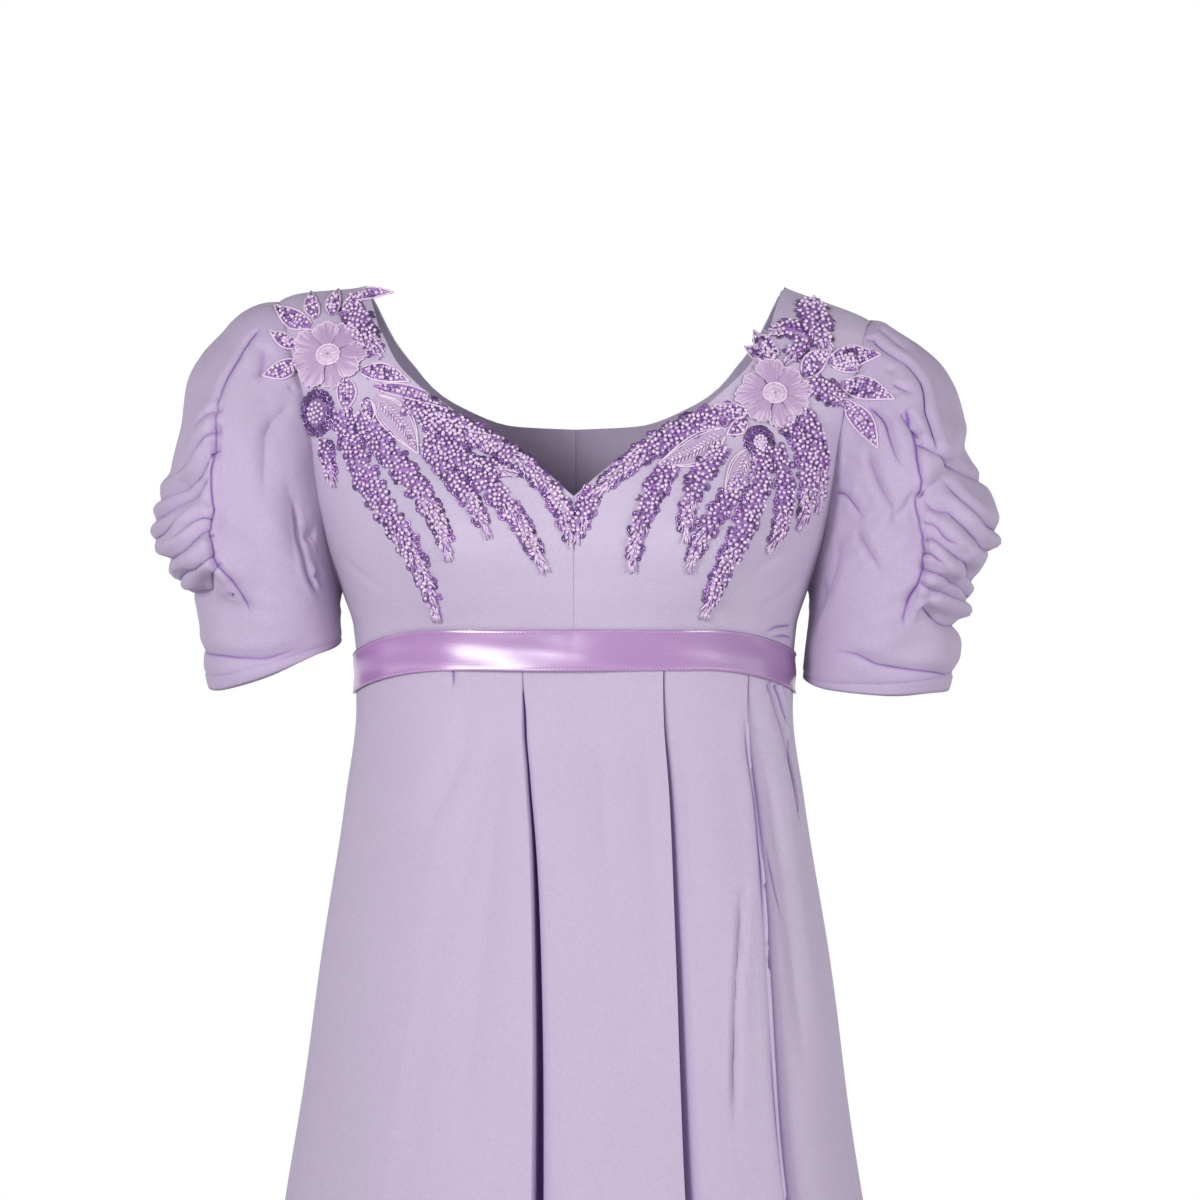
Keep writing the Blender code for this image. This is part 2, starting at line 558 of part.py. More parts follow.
def build_bodice(name, side, back):
    """One of the four bodice panels, with half a seam gap left at each edge."""
    up = bodice_rows(back, 16 if back else 20)
    grid = bodice_grid(back, np.linspace(0, 1, BODICE_ACROSS + 1), up)
    angle, height = grid[..., 0] * side, grid[..., 1]
    outer = body(angle, height)
    inner = outer - WALL * body_out(angle, height)
    # Half a seam gap at the centre, at the side and along the shoulder.
    away = -1 if not back else 1
    centre, seam = up <= NECK_SHARE[back], up <= SIDE_SHARE
    outer[centre, 0, 0] += side * SEAM_GAP / 2
    inner[centre, 0, 0] = outer[centre, 0, 0]
    outer[seam, -1, 1] += away * SEAM_GAP / 2
    inner[seam, -1, 1] = outer[seam, -1, 1]
    outer[-1, :, 1] += away * SEAM_GAP / 2
    inner[-1, :, 1] = outer[-1, :, 1]
    return wall(name, outer, inner, LILAC)


SKIRT_ROWS = 11


def skirt_grid(first, last, heights, fill):
    """Angles of the skirt's columns at each height, following the pleats down."""
    inside = [row for row in PLEATS if first < row[1] < last]
    rows = []
    for share in heights:
        height = np.array([PLEATS_FROM + (HEM - PLEATS_FROM) * share])
        centres = [float(pleat(row, height, "waist")[0]) for row in inside]
        before = [first] + centres[:-1]
        after = centres[1:] + [last]
        angles = [first]
        for row, centre, low, high in zip(inside, centres, before, after):
            reach = float(np.linalg.norm(body(np.radians([centre]), height)[0, :2]))
            width = math.degrees(float(pleat(row, height, "waist_width")[0]) / reach)
            back, lip = PLEAT_REACH if row[PLEAT_COLUMNS.index("lap")] > 0 else PLEAT_REACH[::-1]
            start = centre - min(back * width, PLEAT_SHARE * (centre - low))
            end = centre + min(lip * width, PLEAT_SHARE * (high - centre))
            angles.extend(np.linspace(angles[-1], start, fill + 1)[1:])
            angles.extend([centre, end])
        angles.extend(np.linspace(angles[-1], last, fill + 1)[1:])
        rows.append(angles)
    return np.radians(np.array(rows))


def build_skirt(name, first, last):
    """One skirt panel between two angles in degrees."""
    down = np.concatenate(([0, 0], np.linspace(0, 1, SKIRT_ROWS)[1:] ** 1.35))
    angle = skirt_grid(first, last, down, 2)
    top = waist(angle) - RIBBON_HEIGHT / 2 - PLEAT_START
    height = top + (HEM - top) * down[:, None]
    height[0] = waist(angle[0]) - SEAM_GAP / 2
    height[-1] = HEM
    outer = skirt(angle, height)
    out = normal(skirt, angle, np.clip(height, HEM + 3e-4, None))
    inner = outer - SKIRT_WALL * out
    inner[0, :, 2] = outer[0, :, 2]
    inner[-1, :, 2] = HEM
    for column, turn in ((0, 1), (-1, -1)):
        seam = angle[:, column]
        shift = turn * SEAM_GAP / 2 * np.stack([np.cos(seam), np.sin(seam), 0 * seam], -1)
        outer[:, column] += shift
        across = np.stack([np.cos(seam), np.sin(seam), 0 * seam], -1)
        drift = ((inner[:, column] - outer[:, column]) * across).sum(-1, keepdims=True)
        inner[:, column] -= drift * across
    return wall(name, outer, inner, LILAC)


def build_ribbon():
    """Satin band that covers the waist seam."""
    angle = np.radians(np.linspace(0, 360, 73)[:-1])
    angle = np.where(angle > math.pi, angle - 2 * math.pi, angle)
    share = np.linspace(-0.5, 0.5, 3)
    height = waist(angle)[None] + RIBBON_HEIGHT * share[:, None]
    angle = np.broadcast_to(angle, height.shape)
    out = body_out(angle, height)
    inner = body(angle, height) + (SEAM_GAP + 0.0003) * out
    return wall("waist_ribbon", inner + RIBBON_WALL * out, inner, ORCHID, closed=True,
                roughness=0.35)


SLEEVE_AROUND = 24
ROWS_ABOVE_GATHERS, ROWS_BELOW_GATHERS = 5, 3


def sleeve_rows(name, away):
    """Grid of shares down the sleeve: a row on each ridge and valley of the gathers."""
    top, low = gather_limits(name, away)
    ends = np.array([0.0] + [row[0] for row in RIDGES[name]])
    places = np.sort(np.concatenate([ends, (ends[1:] + ends[:-1]) / 2]))
    above = np.linspace(0, 1, ROWS_ABOVE_GATHERS + 1)[:-1, None] * top
    inside = top + places[:, None] * (low - top)
    below = low + np.linspace(0, 1, ROWS_BELOW_GATHERS + 1)[1:, None] * (1 - low)
    return np.concatenate([above, inside, below])


def build_sleeve(name):
    """One puff sleeve with its slash seam and gathers."""
    away = np.linspace(-180, 180, SLEEVE_AROUND + 1)[:-1]
    drop = sleeve_rows(name, away)
    away = np.broadcast_to(away, drop.shape)
    outer = sleeve(name, away, drop)
    inner = outer - WALL * outward(sleeve, name, away, drop)
    return wall("sleeve_" + name, outer, inner, LILAC, closed=True)


MILLIMETRES = 1000.0     # motifs are meshed flat in millimetres, where small gaps stay exact
CLOSE_GAPS = 7.0         # narrow clefts between overlapping forms are filled, edges in mm
FILL_STEP = 8.0          # between the points inside a form, in mm
SPRAY_STEP = 0.014       # between the points of a spray's spine
LAY_SPREAD = 0.003       # a motif's normals are averaged over this much cloth
AHEAD = -0.4             # where the rays that lay a motif start, in front of the gown
FRONT_LIMIT = 0.015      # the front layer of cloth lies no further back than this


def direction(angle):
    """Unit step on the front view for an angle from straight down."""
    return np.array([math.sin(math.radians(angle)), -math.cos(math.radians(angle))])


def spray_outline(row):
    """Outline of a bead spray, wide near its start and narrow at its tip."""
    x, height, length, start, middle, end, width = row
    count = max(3, round(length / SPRAY_STEP) + 1)
    shares = np.linspace(0, 1, count)
    angles = cubic([0, 0.5, 1], [start, middle, end], shares)
    spine = [np.array([x, height])]
    for before, after in zip(angles, angles[1:]):
        spine.append(spine[-1] + direction((before + after) / 2) * length / (count - 1))
    half = width / 2 * (0.62 + 0.38 * np.sin(math.pi * shares ** 0.8)) * (1 - 0.45 * shares ** 2)
    across = [np.array([-direction(angle)[1], direction(angle)[0]]) for angle in angles]
    left = [point + side * size for point, side, size in zip(spine, across, half)]
    right = [point - side * size for point, side, size in zip(spine, across, half)]
    return left + right[::-1], [(point, 0.0006) for point in spine[1:-1]]


def leaf_outline(row):
    """Outline of a pointed leaf with a raised midrib."""
    x, height, length, angle, width = row
    along_leaf, root = direction(angle), np.array([x, height])
    across = np.array([-along_leaf[1], along_leaf[0]])
    shares = np.linspace(0, 1, 5 if length < 0.025 else 6)
    half = width / 2 * np.sin(math.pi * (0.1 + 0.9 * shares) ** 0.85)
    left = [root + along_leaf * length * t + across * h for t, h in zip(shares[:-1], half)]
    right = [root + along_leaf * length * t - across * h for t, h in zip(shares[:-1], half)]
    rib = [(root + along_leaf * length * t, 0.0008) for t in shares[1:-1]]
    return left + [root + along_leaf * length] + right[::-1], rib


def round_outline(row):
    """Outline of a flower or a large bead, with its raised middle."""
    x, height, half_width, half_height, petals, rise = row
    count = 2 * petals if petals else 10
    turns = np.linspace(0, 2 * math.pi, count + 1)[:-1]
    notch = np.where(np.arange(count) % 2 == 1, 0.84, 1.0) if petals else np.ones(count)
    ring = np.stack([np.cos(turns) * half_width, np.sin(turns) * half_height], -1)
    middle = np.array([x, height])
    inner = [(middle + 0.5 * point, 0.6 * rise) for point in ring[::2]]
    return list(middle + ring * notch[:, None]), inner + [(middle, rise)]


def motif_shape(name):
    """Union of a motif's forms: flat points in mm, their extra heights and the triangles."""
    points, loops, rises = [], [], []
    for rows, outline in ((SPRAYS[name], spray_outline), (LEAVES[name], leaf_outline),
                          (ROUNDS[name], round_outline)):
        for row in rows:
            edge, inside = outline(row)
            loops.append(list(range(len(points), len(points) + len(edge))))
            points.extend(edge)
            rises.extend([0.0] * len(edge))
            points.extend(point for point, _ in inside)
            rises.extend(rise for _, rise in inside)
    flat = [Vector(point) * MILLIMETRES for point in points]
    outlines = [[flat[index] for index in loop] for loop in loops]
    borders = [(loop[place - 1], loop[place]) for loop in loops for place in range(len(loop))]
    spread = fill_points(flat, outlines)
    flat.extend(spread)
    rises.extend([0.0] * len(spread))
    flat, _, faces, origins, _, _ = delaunay_2d_cdt(flat, borders, [], 0, 1e-2)
    rise = [max((rises[index] for index in origin), default=0.0) for origin in origins]
    kept, spare = [], []
    for face in faces:
        corners = [flat[index] for index in face]
        middle = sum(corners, Vector((0, 0))) / 3
        longest = max((corners[place] - corners[place - 1]).length for place in range(3))
        inside = any(holds(outline, middle) for outline in outlines)
        (kept if inside or longest < CLOSE_GAPS else spare).append(face)
    fill_pinches(flat, kept, spare)
    return flat, rise, kept


def fill_points(points, outlines):
    """Points inside the wider forms, so that no flat face spans much of the curved cloth."""
    spread = []
    low_x, high_x = min(point.x for point in points), max(point.x for point in points)
    low_y, high_y = min(point.y for point in points), max(point.y for point in points)
    for x in np.arange(low_x, high_x, FILL_STEP):
        for y in np.arange(low_y, high_y, FILL_STEP):
            point = Vector((x, y))
            crowded = any((point - other).length < FILL_STEP / 2 for other in points + spread)
            if not crowded and any(holds(outline, point) for outline in outlines):
                spread.append(point)
    return spread


def holds(outline, point):
    """Whether a closed outline holds a point."""
    inside = False
    for before, after in zip(outline, outline[1:] + outline[:1]):
        if (before.y > point.y) != (after.y > point.y):
            share = (point.y - before.y) / (after.y - before.y)
            inside ^= point.x < before.x + share * (after.x - before.x)
    return inside


def fill_pinches(flat, kept, spare):
    """Where kept triangles touch only at a corner, take in the smallest spare one between."""
    while True:
        edges = {(face[place - 1], face[place]) for face in kept for place in range(3)}
        starts = [start for start, end in edges if (end, start) not in edges]
        pinched = {start for start in starts if starts.count(start) > 1}
        if not pinched:
            return
        beside = [face for face in spare if pinched.intersection(face)]
        nearest = min(beside, key=lambda face: max(
            (flat[face[place]] - flat[face[place - 1]]).length for place in range(3)))
        spare.remove(nearest)
        kept.append(nearest)


def lay(tree, x, height):
    """Point and normal of the cloth at x and height, seen from the front, or level with its edge."""
    found = []
    for shift_x, shift_z in ((0, 0), (1, 0), (-1, 0), (0, 1), (0, -1)):
        start = Vector((x + shift_x * LAY_SPREAD, AHEAD, height + shift_z * LAY_SPREAD))
        spot, out, _, _ = tree.ray_cast(start, Vector((0, 1, 0)))
        if spot is None or spot.y > FRONT_LIMIT:
            edge, out, _, _ = tree.find_nearest(Vector((start.x, -FRONT_LIMIT, start.z)))
            spot = Vector((start.x, edge.y, start.z))
        found.append((spot, out))
    return np.array(found[0][0]), np.array(sum((out for _, out in found), Vector()).normalized())


def settle(tree, under, out, faces):
    """Lift a motif's points until its flat faces are clear of the curved cloth as well."""
    under = under.copy()
    shares = [(a / 5, b / 5, (5 - a - b) / 5) for a in range(6) for b in range(6 - a)]
    forward = Vector((0, 1, 0))
    for _ in range(6):
        lift = np.zeros(len(under))
        for face in faces:
            corners = under[face]
            for share in shares:
                point = Vector(np.dot(share, corners))
                spot, normal, _, _ = tree.ray_cast(point - 0.02 * forward, forward, 0.03)
                if spot is None:
                    continue
                short = 1.3 * SEAM_GAP - (point - spot).dot(normal)
                if short > 0:
                    lift[face] = np.maximum(lift[face], short)
        if not lift.any():
            break
        under += lift[:, None] * out
    return under


def build_motif(name, panels):
    """One beaded motif laid on the bodice front and the top of the sleeve."""
    vertices, faces = [], []
    for panel in panels:
        first = len(vertices)
        skin = len(panel.data.vertices) // 2            # a wall's outer points come first
        vertices.extend(vertex.co.copy() for vertex in panel.data.vertices)
        faces.extend([first + index for index in face.vertices] for face in panel.data.polygons
                     if max(face.vertices) < skin)
    tree = BVHTree.FromPolygons(vertices, faces)
    flat, rise, kept = motif_shape(name)
    used = sorted({index for face in kept for index in face})
    number = {index: place for place, index in enumerate(used)}
    solid = [[number[index] for index in face] for face in kept]
    laid = [lay(tree, *(flat[index] / MILLIMETRES)) for index in used]
    out = np.array([normal for _, normal in laid])
    under = settle(tree, np.array([spot for spot, _ in laid]) + SEAM_GAP * out, out, solid)
    height = np.array([MOTIF_WALL + rise[index] for index in used])
    over = under + height[:, None] * out
    count = len(used)
    edges = {}
    for face in solid:
        for place in range(3):
            edges[(face[place - 1], face[place])] = True
    rim = [edge for edge in edges if edge[::-1] not in edges]
    skin = ([[count + index for index in face] for face in solid]
            + [face[::-1] for face in solid]
            + [[start, end, count + end, count + start] for start, end in rim])
    return new_object("applique_" + name, np.concatenate([under, over]), skin, BEADED)


def build():
    """Make every piece of the gown."""
    for item in list(bpy.data.objects):
        bpy.data.objects.remove(item, do_unlink=True)
    for name, side in (("left", 1), ("right", -1)):
        front = build_bodice("bodice_front_" + name, side, False)
        build_bodice("bodice_back_" + name, side, True)
        arm = build_sleeve(name)
        build_motif(name, (front, arm))
    build_ribbon()
    build_skirt("skirt_front", -90, 90)
    build_skirt("skirt_back_left", 90, 180)
    build_skirt("skirt_back_right", -180, -90)


build()
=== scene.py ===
"""The regency gown's looks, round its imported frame.

Each cloth panel is a thin shell on the same surfaces as its solid, finer, with its creases pressed
in. The satin ribbon, the embroidered motifs and their beads, sequins, bugles and thread lie on the
shells. Units are metres, +Z is up, the front of the gown faces -Y and the wearer's left is +X.
"""
import math

import bmesh
import bpy
import numpy as np
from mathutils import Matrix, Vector
from mathutils.bvhtree import BVHTree


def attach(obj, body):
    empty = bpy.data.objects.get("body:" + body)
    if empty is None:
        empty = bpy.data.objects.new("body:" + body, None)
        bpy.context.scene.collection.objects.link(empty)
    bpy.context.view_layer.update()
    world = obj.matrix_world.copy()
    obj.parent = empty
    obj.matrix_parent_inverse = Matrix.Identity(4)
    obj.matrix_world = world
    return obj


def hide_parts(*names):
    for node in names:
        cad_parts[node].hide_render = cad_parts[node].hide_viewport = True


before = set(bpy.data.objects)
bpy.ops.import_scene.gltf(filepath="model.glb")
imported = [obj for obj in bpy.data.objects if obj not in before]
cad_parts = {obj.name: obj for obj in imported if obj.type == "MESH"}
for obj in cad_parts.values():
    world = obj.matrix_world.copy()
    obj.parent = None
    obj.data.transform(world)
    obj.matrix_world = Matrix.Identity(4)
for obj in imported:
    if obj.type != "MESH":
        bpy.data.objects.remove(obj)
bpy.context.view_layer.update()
draw = np.random.default_rng(7)
TURN = 2 * math.pi
TENTHS = 1e4                     # tenths of a millimetre in a metre

# ---- driving dimensions, as in the solids ----

SEAM_GAP = 0.0003
HEM = -1.420
RIBBON_HEIGHT = 0.0250
WAIST_FRONT, WAIST_SIDE, ARCH_SPREAD = -0.228, -0.2445, 0.75
SHOULDER_RAISE = 0.012           # of the right shoulder, from this x and height on
RAISE_X, RAISE_ACROSS, RAISE_HEIGHT, RAISE_UP = 0.120, 0.065, -0.150, 0.110
CLOTH, SATIN = 0.0008, 0.0005    # thickness of the crepe and of the ribbon

# Height, half width, depth in front and behind, centre and power of the body's rounds.
BODY = (
    (-1.420, 0.296, 0.262, 0.268, 0.000, 2.0),
    (-1.200, 0.268, 0.236, 0.240, 0.000, 2.0),
    (-0.900, 0.229, 0.196, 0.198, 0.000, 2.0),
    (-0.576, 0.182, 0.150, 0.150, 0.000, 2.1),
    (-0.450, 0.163, 0.129, 0.126, 0.000, 2.2),
    (-0.324, 0.146, 0.107, 0.100, 0.000, 2.3),
    (-0.262, 0.137, 0.096, 0.086, 0.000, 2.3),
    (-0.243, 0.137, 0.096, 0.085, 0.000, 2.3),
    (-0.215, 0.139, 0.101, 0.088, 0.000, 2.3),
    (-0.193, 0.146, 0.108, 0.092, 0.000, 2.3),
    (-0.160, 0.158, 0.115, 0.096, 0.000, 2.3),
    (-0.130, 0.168, 0.112, 0.098, 0.000, 2.3),
    (-0.100, 0.177, 0.102, 0.098, 0.001, 2.3),
    (-0.060, 0.193, 0.086, 0.090, 0.003, 2.3),
    (-0.045, 0.199, 0.077, 0.081, 0.005, 2.3),
    (-0.032, 0.197, 0.066, 0.070, 0.006, 2.3),
    (-0.021, 0.185, 0.054, 0.058, 0.007, 2.3),
    (-0.010, 0.158, 0.039, 0.041, 0.008, 2.3),
    (-0.003, 0.138, 0.023, 0.024, 0.008, 2.3),
    (0.000, 0.131, 0.012, 0.012, 0.008, 2.3),
)
BUST_X, BUST_HEIGHT, BUST_SPREAD, BUST_FULLNESS = 0.078, -0.168, 0.032, 0.017
# Necklines as x and height, the shoulder and the armholes as degrees and height.
NECK_FRONT = ((0, -.136), (.018, -.12), (.045, -.101), (.073, -.085), (.102, -.06), (.117, -.036),
              (.125, -.016), (.129, -.005), (.1305, -.0005))
NECK_BACK = ((0, -.086), (.04, -.084), (.08, -.069), (.108, -.042), (.123, -.018), (.129, -.005),
             (.1305, -.0005))
SHOULDER = ((90, -.0005), (90, -.01), (90, -.021))
ARMHOLE_FRONT = ((90, -.021), (83, -.026), (78.5, -.038), (76, -.056), (74, -.08), (73.5, -.106),
                 (75, -.138), (78.5, -.166), (84, -.186), (90, -.193))
ARMHOLE_BACK = ((90, -.021), (97, -.027), (101, -.04), (104, -.06), (106, -.086), (106.5, -.112),
                (105, -.142), (101.5, -.168), (96, -.187), (90, -.193))
ARMHOLE_MIDDLE = -0.107
BODY_SCALE = (0.150, 1.0)
SIDE_SHARE, NECK_SHARE = 0.22, {False: 0.36, True: 0.62}

# Each pleat's centre in degrees, and its depth, width and slit in tenths of a millimetre, each at
# the waist, lower and at the hem; and its lap, the side that it opens to.
PLEAT_HEIGHTS = (-1.420, -0.560, -0.256)
PLEATS = (
    (-162, -161, -161, 35, 110, 300, 70, 120, 300, 9, 40, 120, 1),
    (-141, -141, -143, 30, 80, 260, 70, 110, 280, 8, 30, 100, 1),
    (-120, -122, -125, 30, 100, 280, 70, 120, 300, 9, 36, 110, -1),
    (-98, -101, -105, 25, 60, 240, 70, 110, 280, 7, 26, 90, -1),
    (-76, -74, -68, 15, 60, 220, 70, 120, 300, 6, 22, 80, 1),
    (-40, -44, -44, 6, 20, 160, 70, 140, 340, 2, 4, 40, -1),
    (-18, -8, -6, 35, 120, 300, 60, 100, 280, 10, 66, 130, -1),
    (32, 27, 25, 40, 100, 280, 60, 100, 280, 14, 78, 130, -1),
    (56, 53, 48, 35, 100, 260, 60, 110, 280, 14, 90, 140, -1),
    (74, 72, 70, 22, 80, 240, 60, 110, 260, 3, 36, 100, -1),
    (98, 101, 105, 25, 60, 240, 70, 110, 280, 7, 26, 90, 1),
    (119, 121, 124, 30, 100, 280, 70, 120, 300, 9, 36, 110, 1),
    (141, 141, 142, 30, 80, 260, 70, 110, 280, 8, 30, 100, -1),
    (162, 161, 161, 35, 110, 300, 70, 120, 300, 9, 40, 120, -1),
)
# Where three of the front pleats run: heights and degrees, from the hem up.
PLEAT_LINES = {
    -18: ((-1.42, -0.56, -0.492, -0.4255, -0.388, -0.360, -0.332, -0.303, -0.275, -0.241),
          (-7.0, -9.5, -10.05, -11.1, -11.95, -12.85, -14.2, -16.2, -18.2, -18.7)),
    32: ((-1.42, -0.56, -0.493, -0.426, -0.389, -0.332, -0.285, -0.242),
         (25.0, 25.2, 25.95, 27.05, 27.85, 29.45, 30.45, 30.5)),
    56: ((-1.42, -0.56, -0.420, -0.391, -0.3625, -0.314, -0.276, -0.247),
         (47.0, 49.0, 51.6, 53.0, 54.0, 55.4, 56.8, 57.4)),
}
SLIT_GROWTH = 0.6                # a slit widens fast at first
NO_SLIT, CLEAR_SLIT = 0.0004, 0.0008
PLEAT_START, PLEAT_FADE = 0.0015, 0.030
LIP, LIP_SPREAD = 0.26, 2.2      # of the pleat's depth, and of its width
GROOVE, GROOVE_SPREAD = 0.50, 1.9    # the cloth past the slit lies this much lower
SLIT_FADE = 0.004                # the slits open over this drop below the ribbon
SLIT_DEPTH, SLIT_MOST = 2.6, 0.014   # of a slit's width, and at most
# How strong the painted shadow is on and past a slit's far wall, and how far it reaches.
HALF_SHADE, SHADE_REACH = 0.38, 0.35    # shade on and just past the far wall of a slit
SLIT_WALLS = (0.10, 0.50, 1.00)  # shares of its width: first wall's foot, far wall's foot and top

# Eight rows round each sleeve: how it leaves the armhole, its cuff, and how it arrives there.
SLEEVES = {
    "left": (
        (.07, 0, .002, .236, .004, -.254, .018, 0, .074),
        (.046, -.03, .004, .223, -.033, -.256, .016, -.026, .07),
        (.022, -.022, -.012, .19, -.047, -.257, .004, -.022, .056),
        (.006, -.01, -.012, .1555, -.035, -.253, 0, -.014, .032),
        (.003, 0, -.012, .144, .002, -.247, .001, 0, .02),
        (.006, .01, -.01, .1545, .04, -.246, .002, .012, .03),
        (.022, .022, -.004, .19, .056, -.249, .006, .022, .054),
        (.046, .03, .008, .223, .04, -.252, .016, .026, .07),
    ),
    "right": (
        (.078, 0, .004, .231, .004, -.252, .02, 0, .068),
        (.05, -.03, .004, .219, -.034, -.254, .018, -.028, .066),
        (.022, -.024, -.01, .187, -.05, -.244, .006, -.024, .054),
        (.006, -.012, -.012, .155, -.037, -.23, .002, -.014, .026),
        (.003, 0, -.012, .147, .002, -.223, .001, 0, .012),
        (.006, .01, -.01, .156, .042, -.229, .002, .012, .026),
        (.022, .022, -.004, .187, .058, -.239, .006, .022, .052),
        (.048, .03, .006, .219, .042, -.249, .018, .028, .068),
    ),
}
# How far each sleeve stands out on the outside of the arm, at shares of the way down.
FULLNESS = {
    "left": ((0, 0), (.12, -.007), (.2, -.002), (.28, .0034), (.35, .0053), (.42, .0052),
             (.48, -.0018), (.54, .0039), (.6, .0138), (.66, .0146), (.72, .0023), (.78, -.0005),
             (.84, -.0018), (.91, .0013), (1, 0)),
    "right": ((0, 0), (.12, -.0033), (.2, -.0037), (.28, .0016), (.35, .0049), (.42, .0039),
              (.48, .0033), (.54, .0027), (.6, .0114), (.66, .0151), (.72, .0046), (.78, -.005),
              (.84, -.0036), (.91, -.0025), (1, 0)),
}
FULLEST = 20                     # degrees before the shoulder's line where it stands out most
# The slash seam of each sleeve: degrees round the arm at the armhole and at the cuff, and the
# share of the way down where it settles there.
SEAMS = {"left": (42, 74, 0.72), "right": (29, 74, 0.85)}
SEAM_PATHS = {
    "left": ((0, .245), (0, .36), (1, .41), (4, .47), (4, .53), (1, .6), (-1, .69), (-6, .79)),
    "right": ((1, .1), (2, .19), (1, .3), (0, .4), (4, .48), (5, .54), (2, .62), (-1, .7),
              (-4, .8)),
}
# Where the gathered cloth swells, as shares of the way down at the seam and outside the arm.
SWELL = {"left": (0.35, 0.76, 0.48, 0.82), "right": (0.36, 0.69, 0.55, 0.79)}
SWELL_HEIGHT = 0.0052
SWELL_IN, SWELL_OUT = 0.10, 0.05    # shares of the way down over which it comes and goes
SWELL_NEAR, SWELL_FAR, FAN = (-3, 9), (85, 75), 75    # and degrees outward from the seam
# In front and behind, the sleeve's fullness is evened over this share of its length, from this
# cosine of the angle from its outside.
EVEN_REACH, EVEN_FROM = 0.22, 0.80
TUCKED, SUNK = 0.0040, 0.0016    # how far the sleeve's edge runs under the bodice, and how low
UNDER = 0.01                     # the sleeve's drop that sinks and then runs under
HEM_FOLD = 0.04                  # share of a sleeve's length that is turned up inside its hem
HEM_TURN, HEM_INSET = 0.003, 1.1 * CLOTH    # share over which it turns, and how far in
SHARP, TROUGH = 0.0021, 2.4      # creases narrower than this lie in a trough this much wider
FINEST = 0.0020                  # only those are cut into edges shorter than this
# The shade that a crease holds is painted shade, a darker colour along it.
STEEP = 0.60                     # a crease over this depth for its width holds shade
SHADE_LINE = 0.0014              # widest line of shade in a crease
MOST_PRESSED = 0.0066            # the furthest that creases move the cloth together
# For each kind of panel: (distance from a crease, edge length left uncut) for each round of
# cutting, and the size and height of its ripple.
FINE = {"bodice": ((0.0065, 0.0014), (0.0020, 0.0007)),
        "skirt": ((0.010, 0.004), (0.007, 0.003), (0.0045, 0.0016), (0.0026, 0.0010)),
        "sleeve": ((0.0075, 0.0022), (0.0045, 0.0011), (0.0020, 0.0007))}
UNEVEN = {"bodice": (0.030, 0.00025), "skirt": (0.085, 0.0011), "sleeve": (0.035, 0.0005)}
# Cells across and down a bodice panel, in front and behind, and round and down a sleeve; the
# skirt's rows, as (first, last, number) shares of the way down.
BODICE_CELLS = {False: (100, 120), True: (60, 70)}
SLEEVE_CELLS = (148, 98)
SKIRT_ROWS = ((0, 0.006, 6), (0.006, 0.12, 19), (0.12, 1, 60))
FOLD_MARKS = np.array([0.06, 0.2, 0.45, 0.7, 1.0])    # rows of a sleeve's hem that is folded in
# Places of the skirt's columns at a slit, in slits' widths, and shares of the way out from it.
SLIT_MARKS = np.array([-0.6, -0.25, -0.05, 0.0, 0.03, 0.07, 0.11, 0.25, 0.42, 0.50, 0.58, 0.64,
                       0.72, 0.80, 0.90, 0.98, 1.02, 1.3, 1.8])
OUTER_MARKS = np.array([0.1, 0.25, 0.45, 0.7, 1.0])

# ---- creases ----

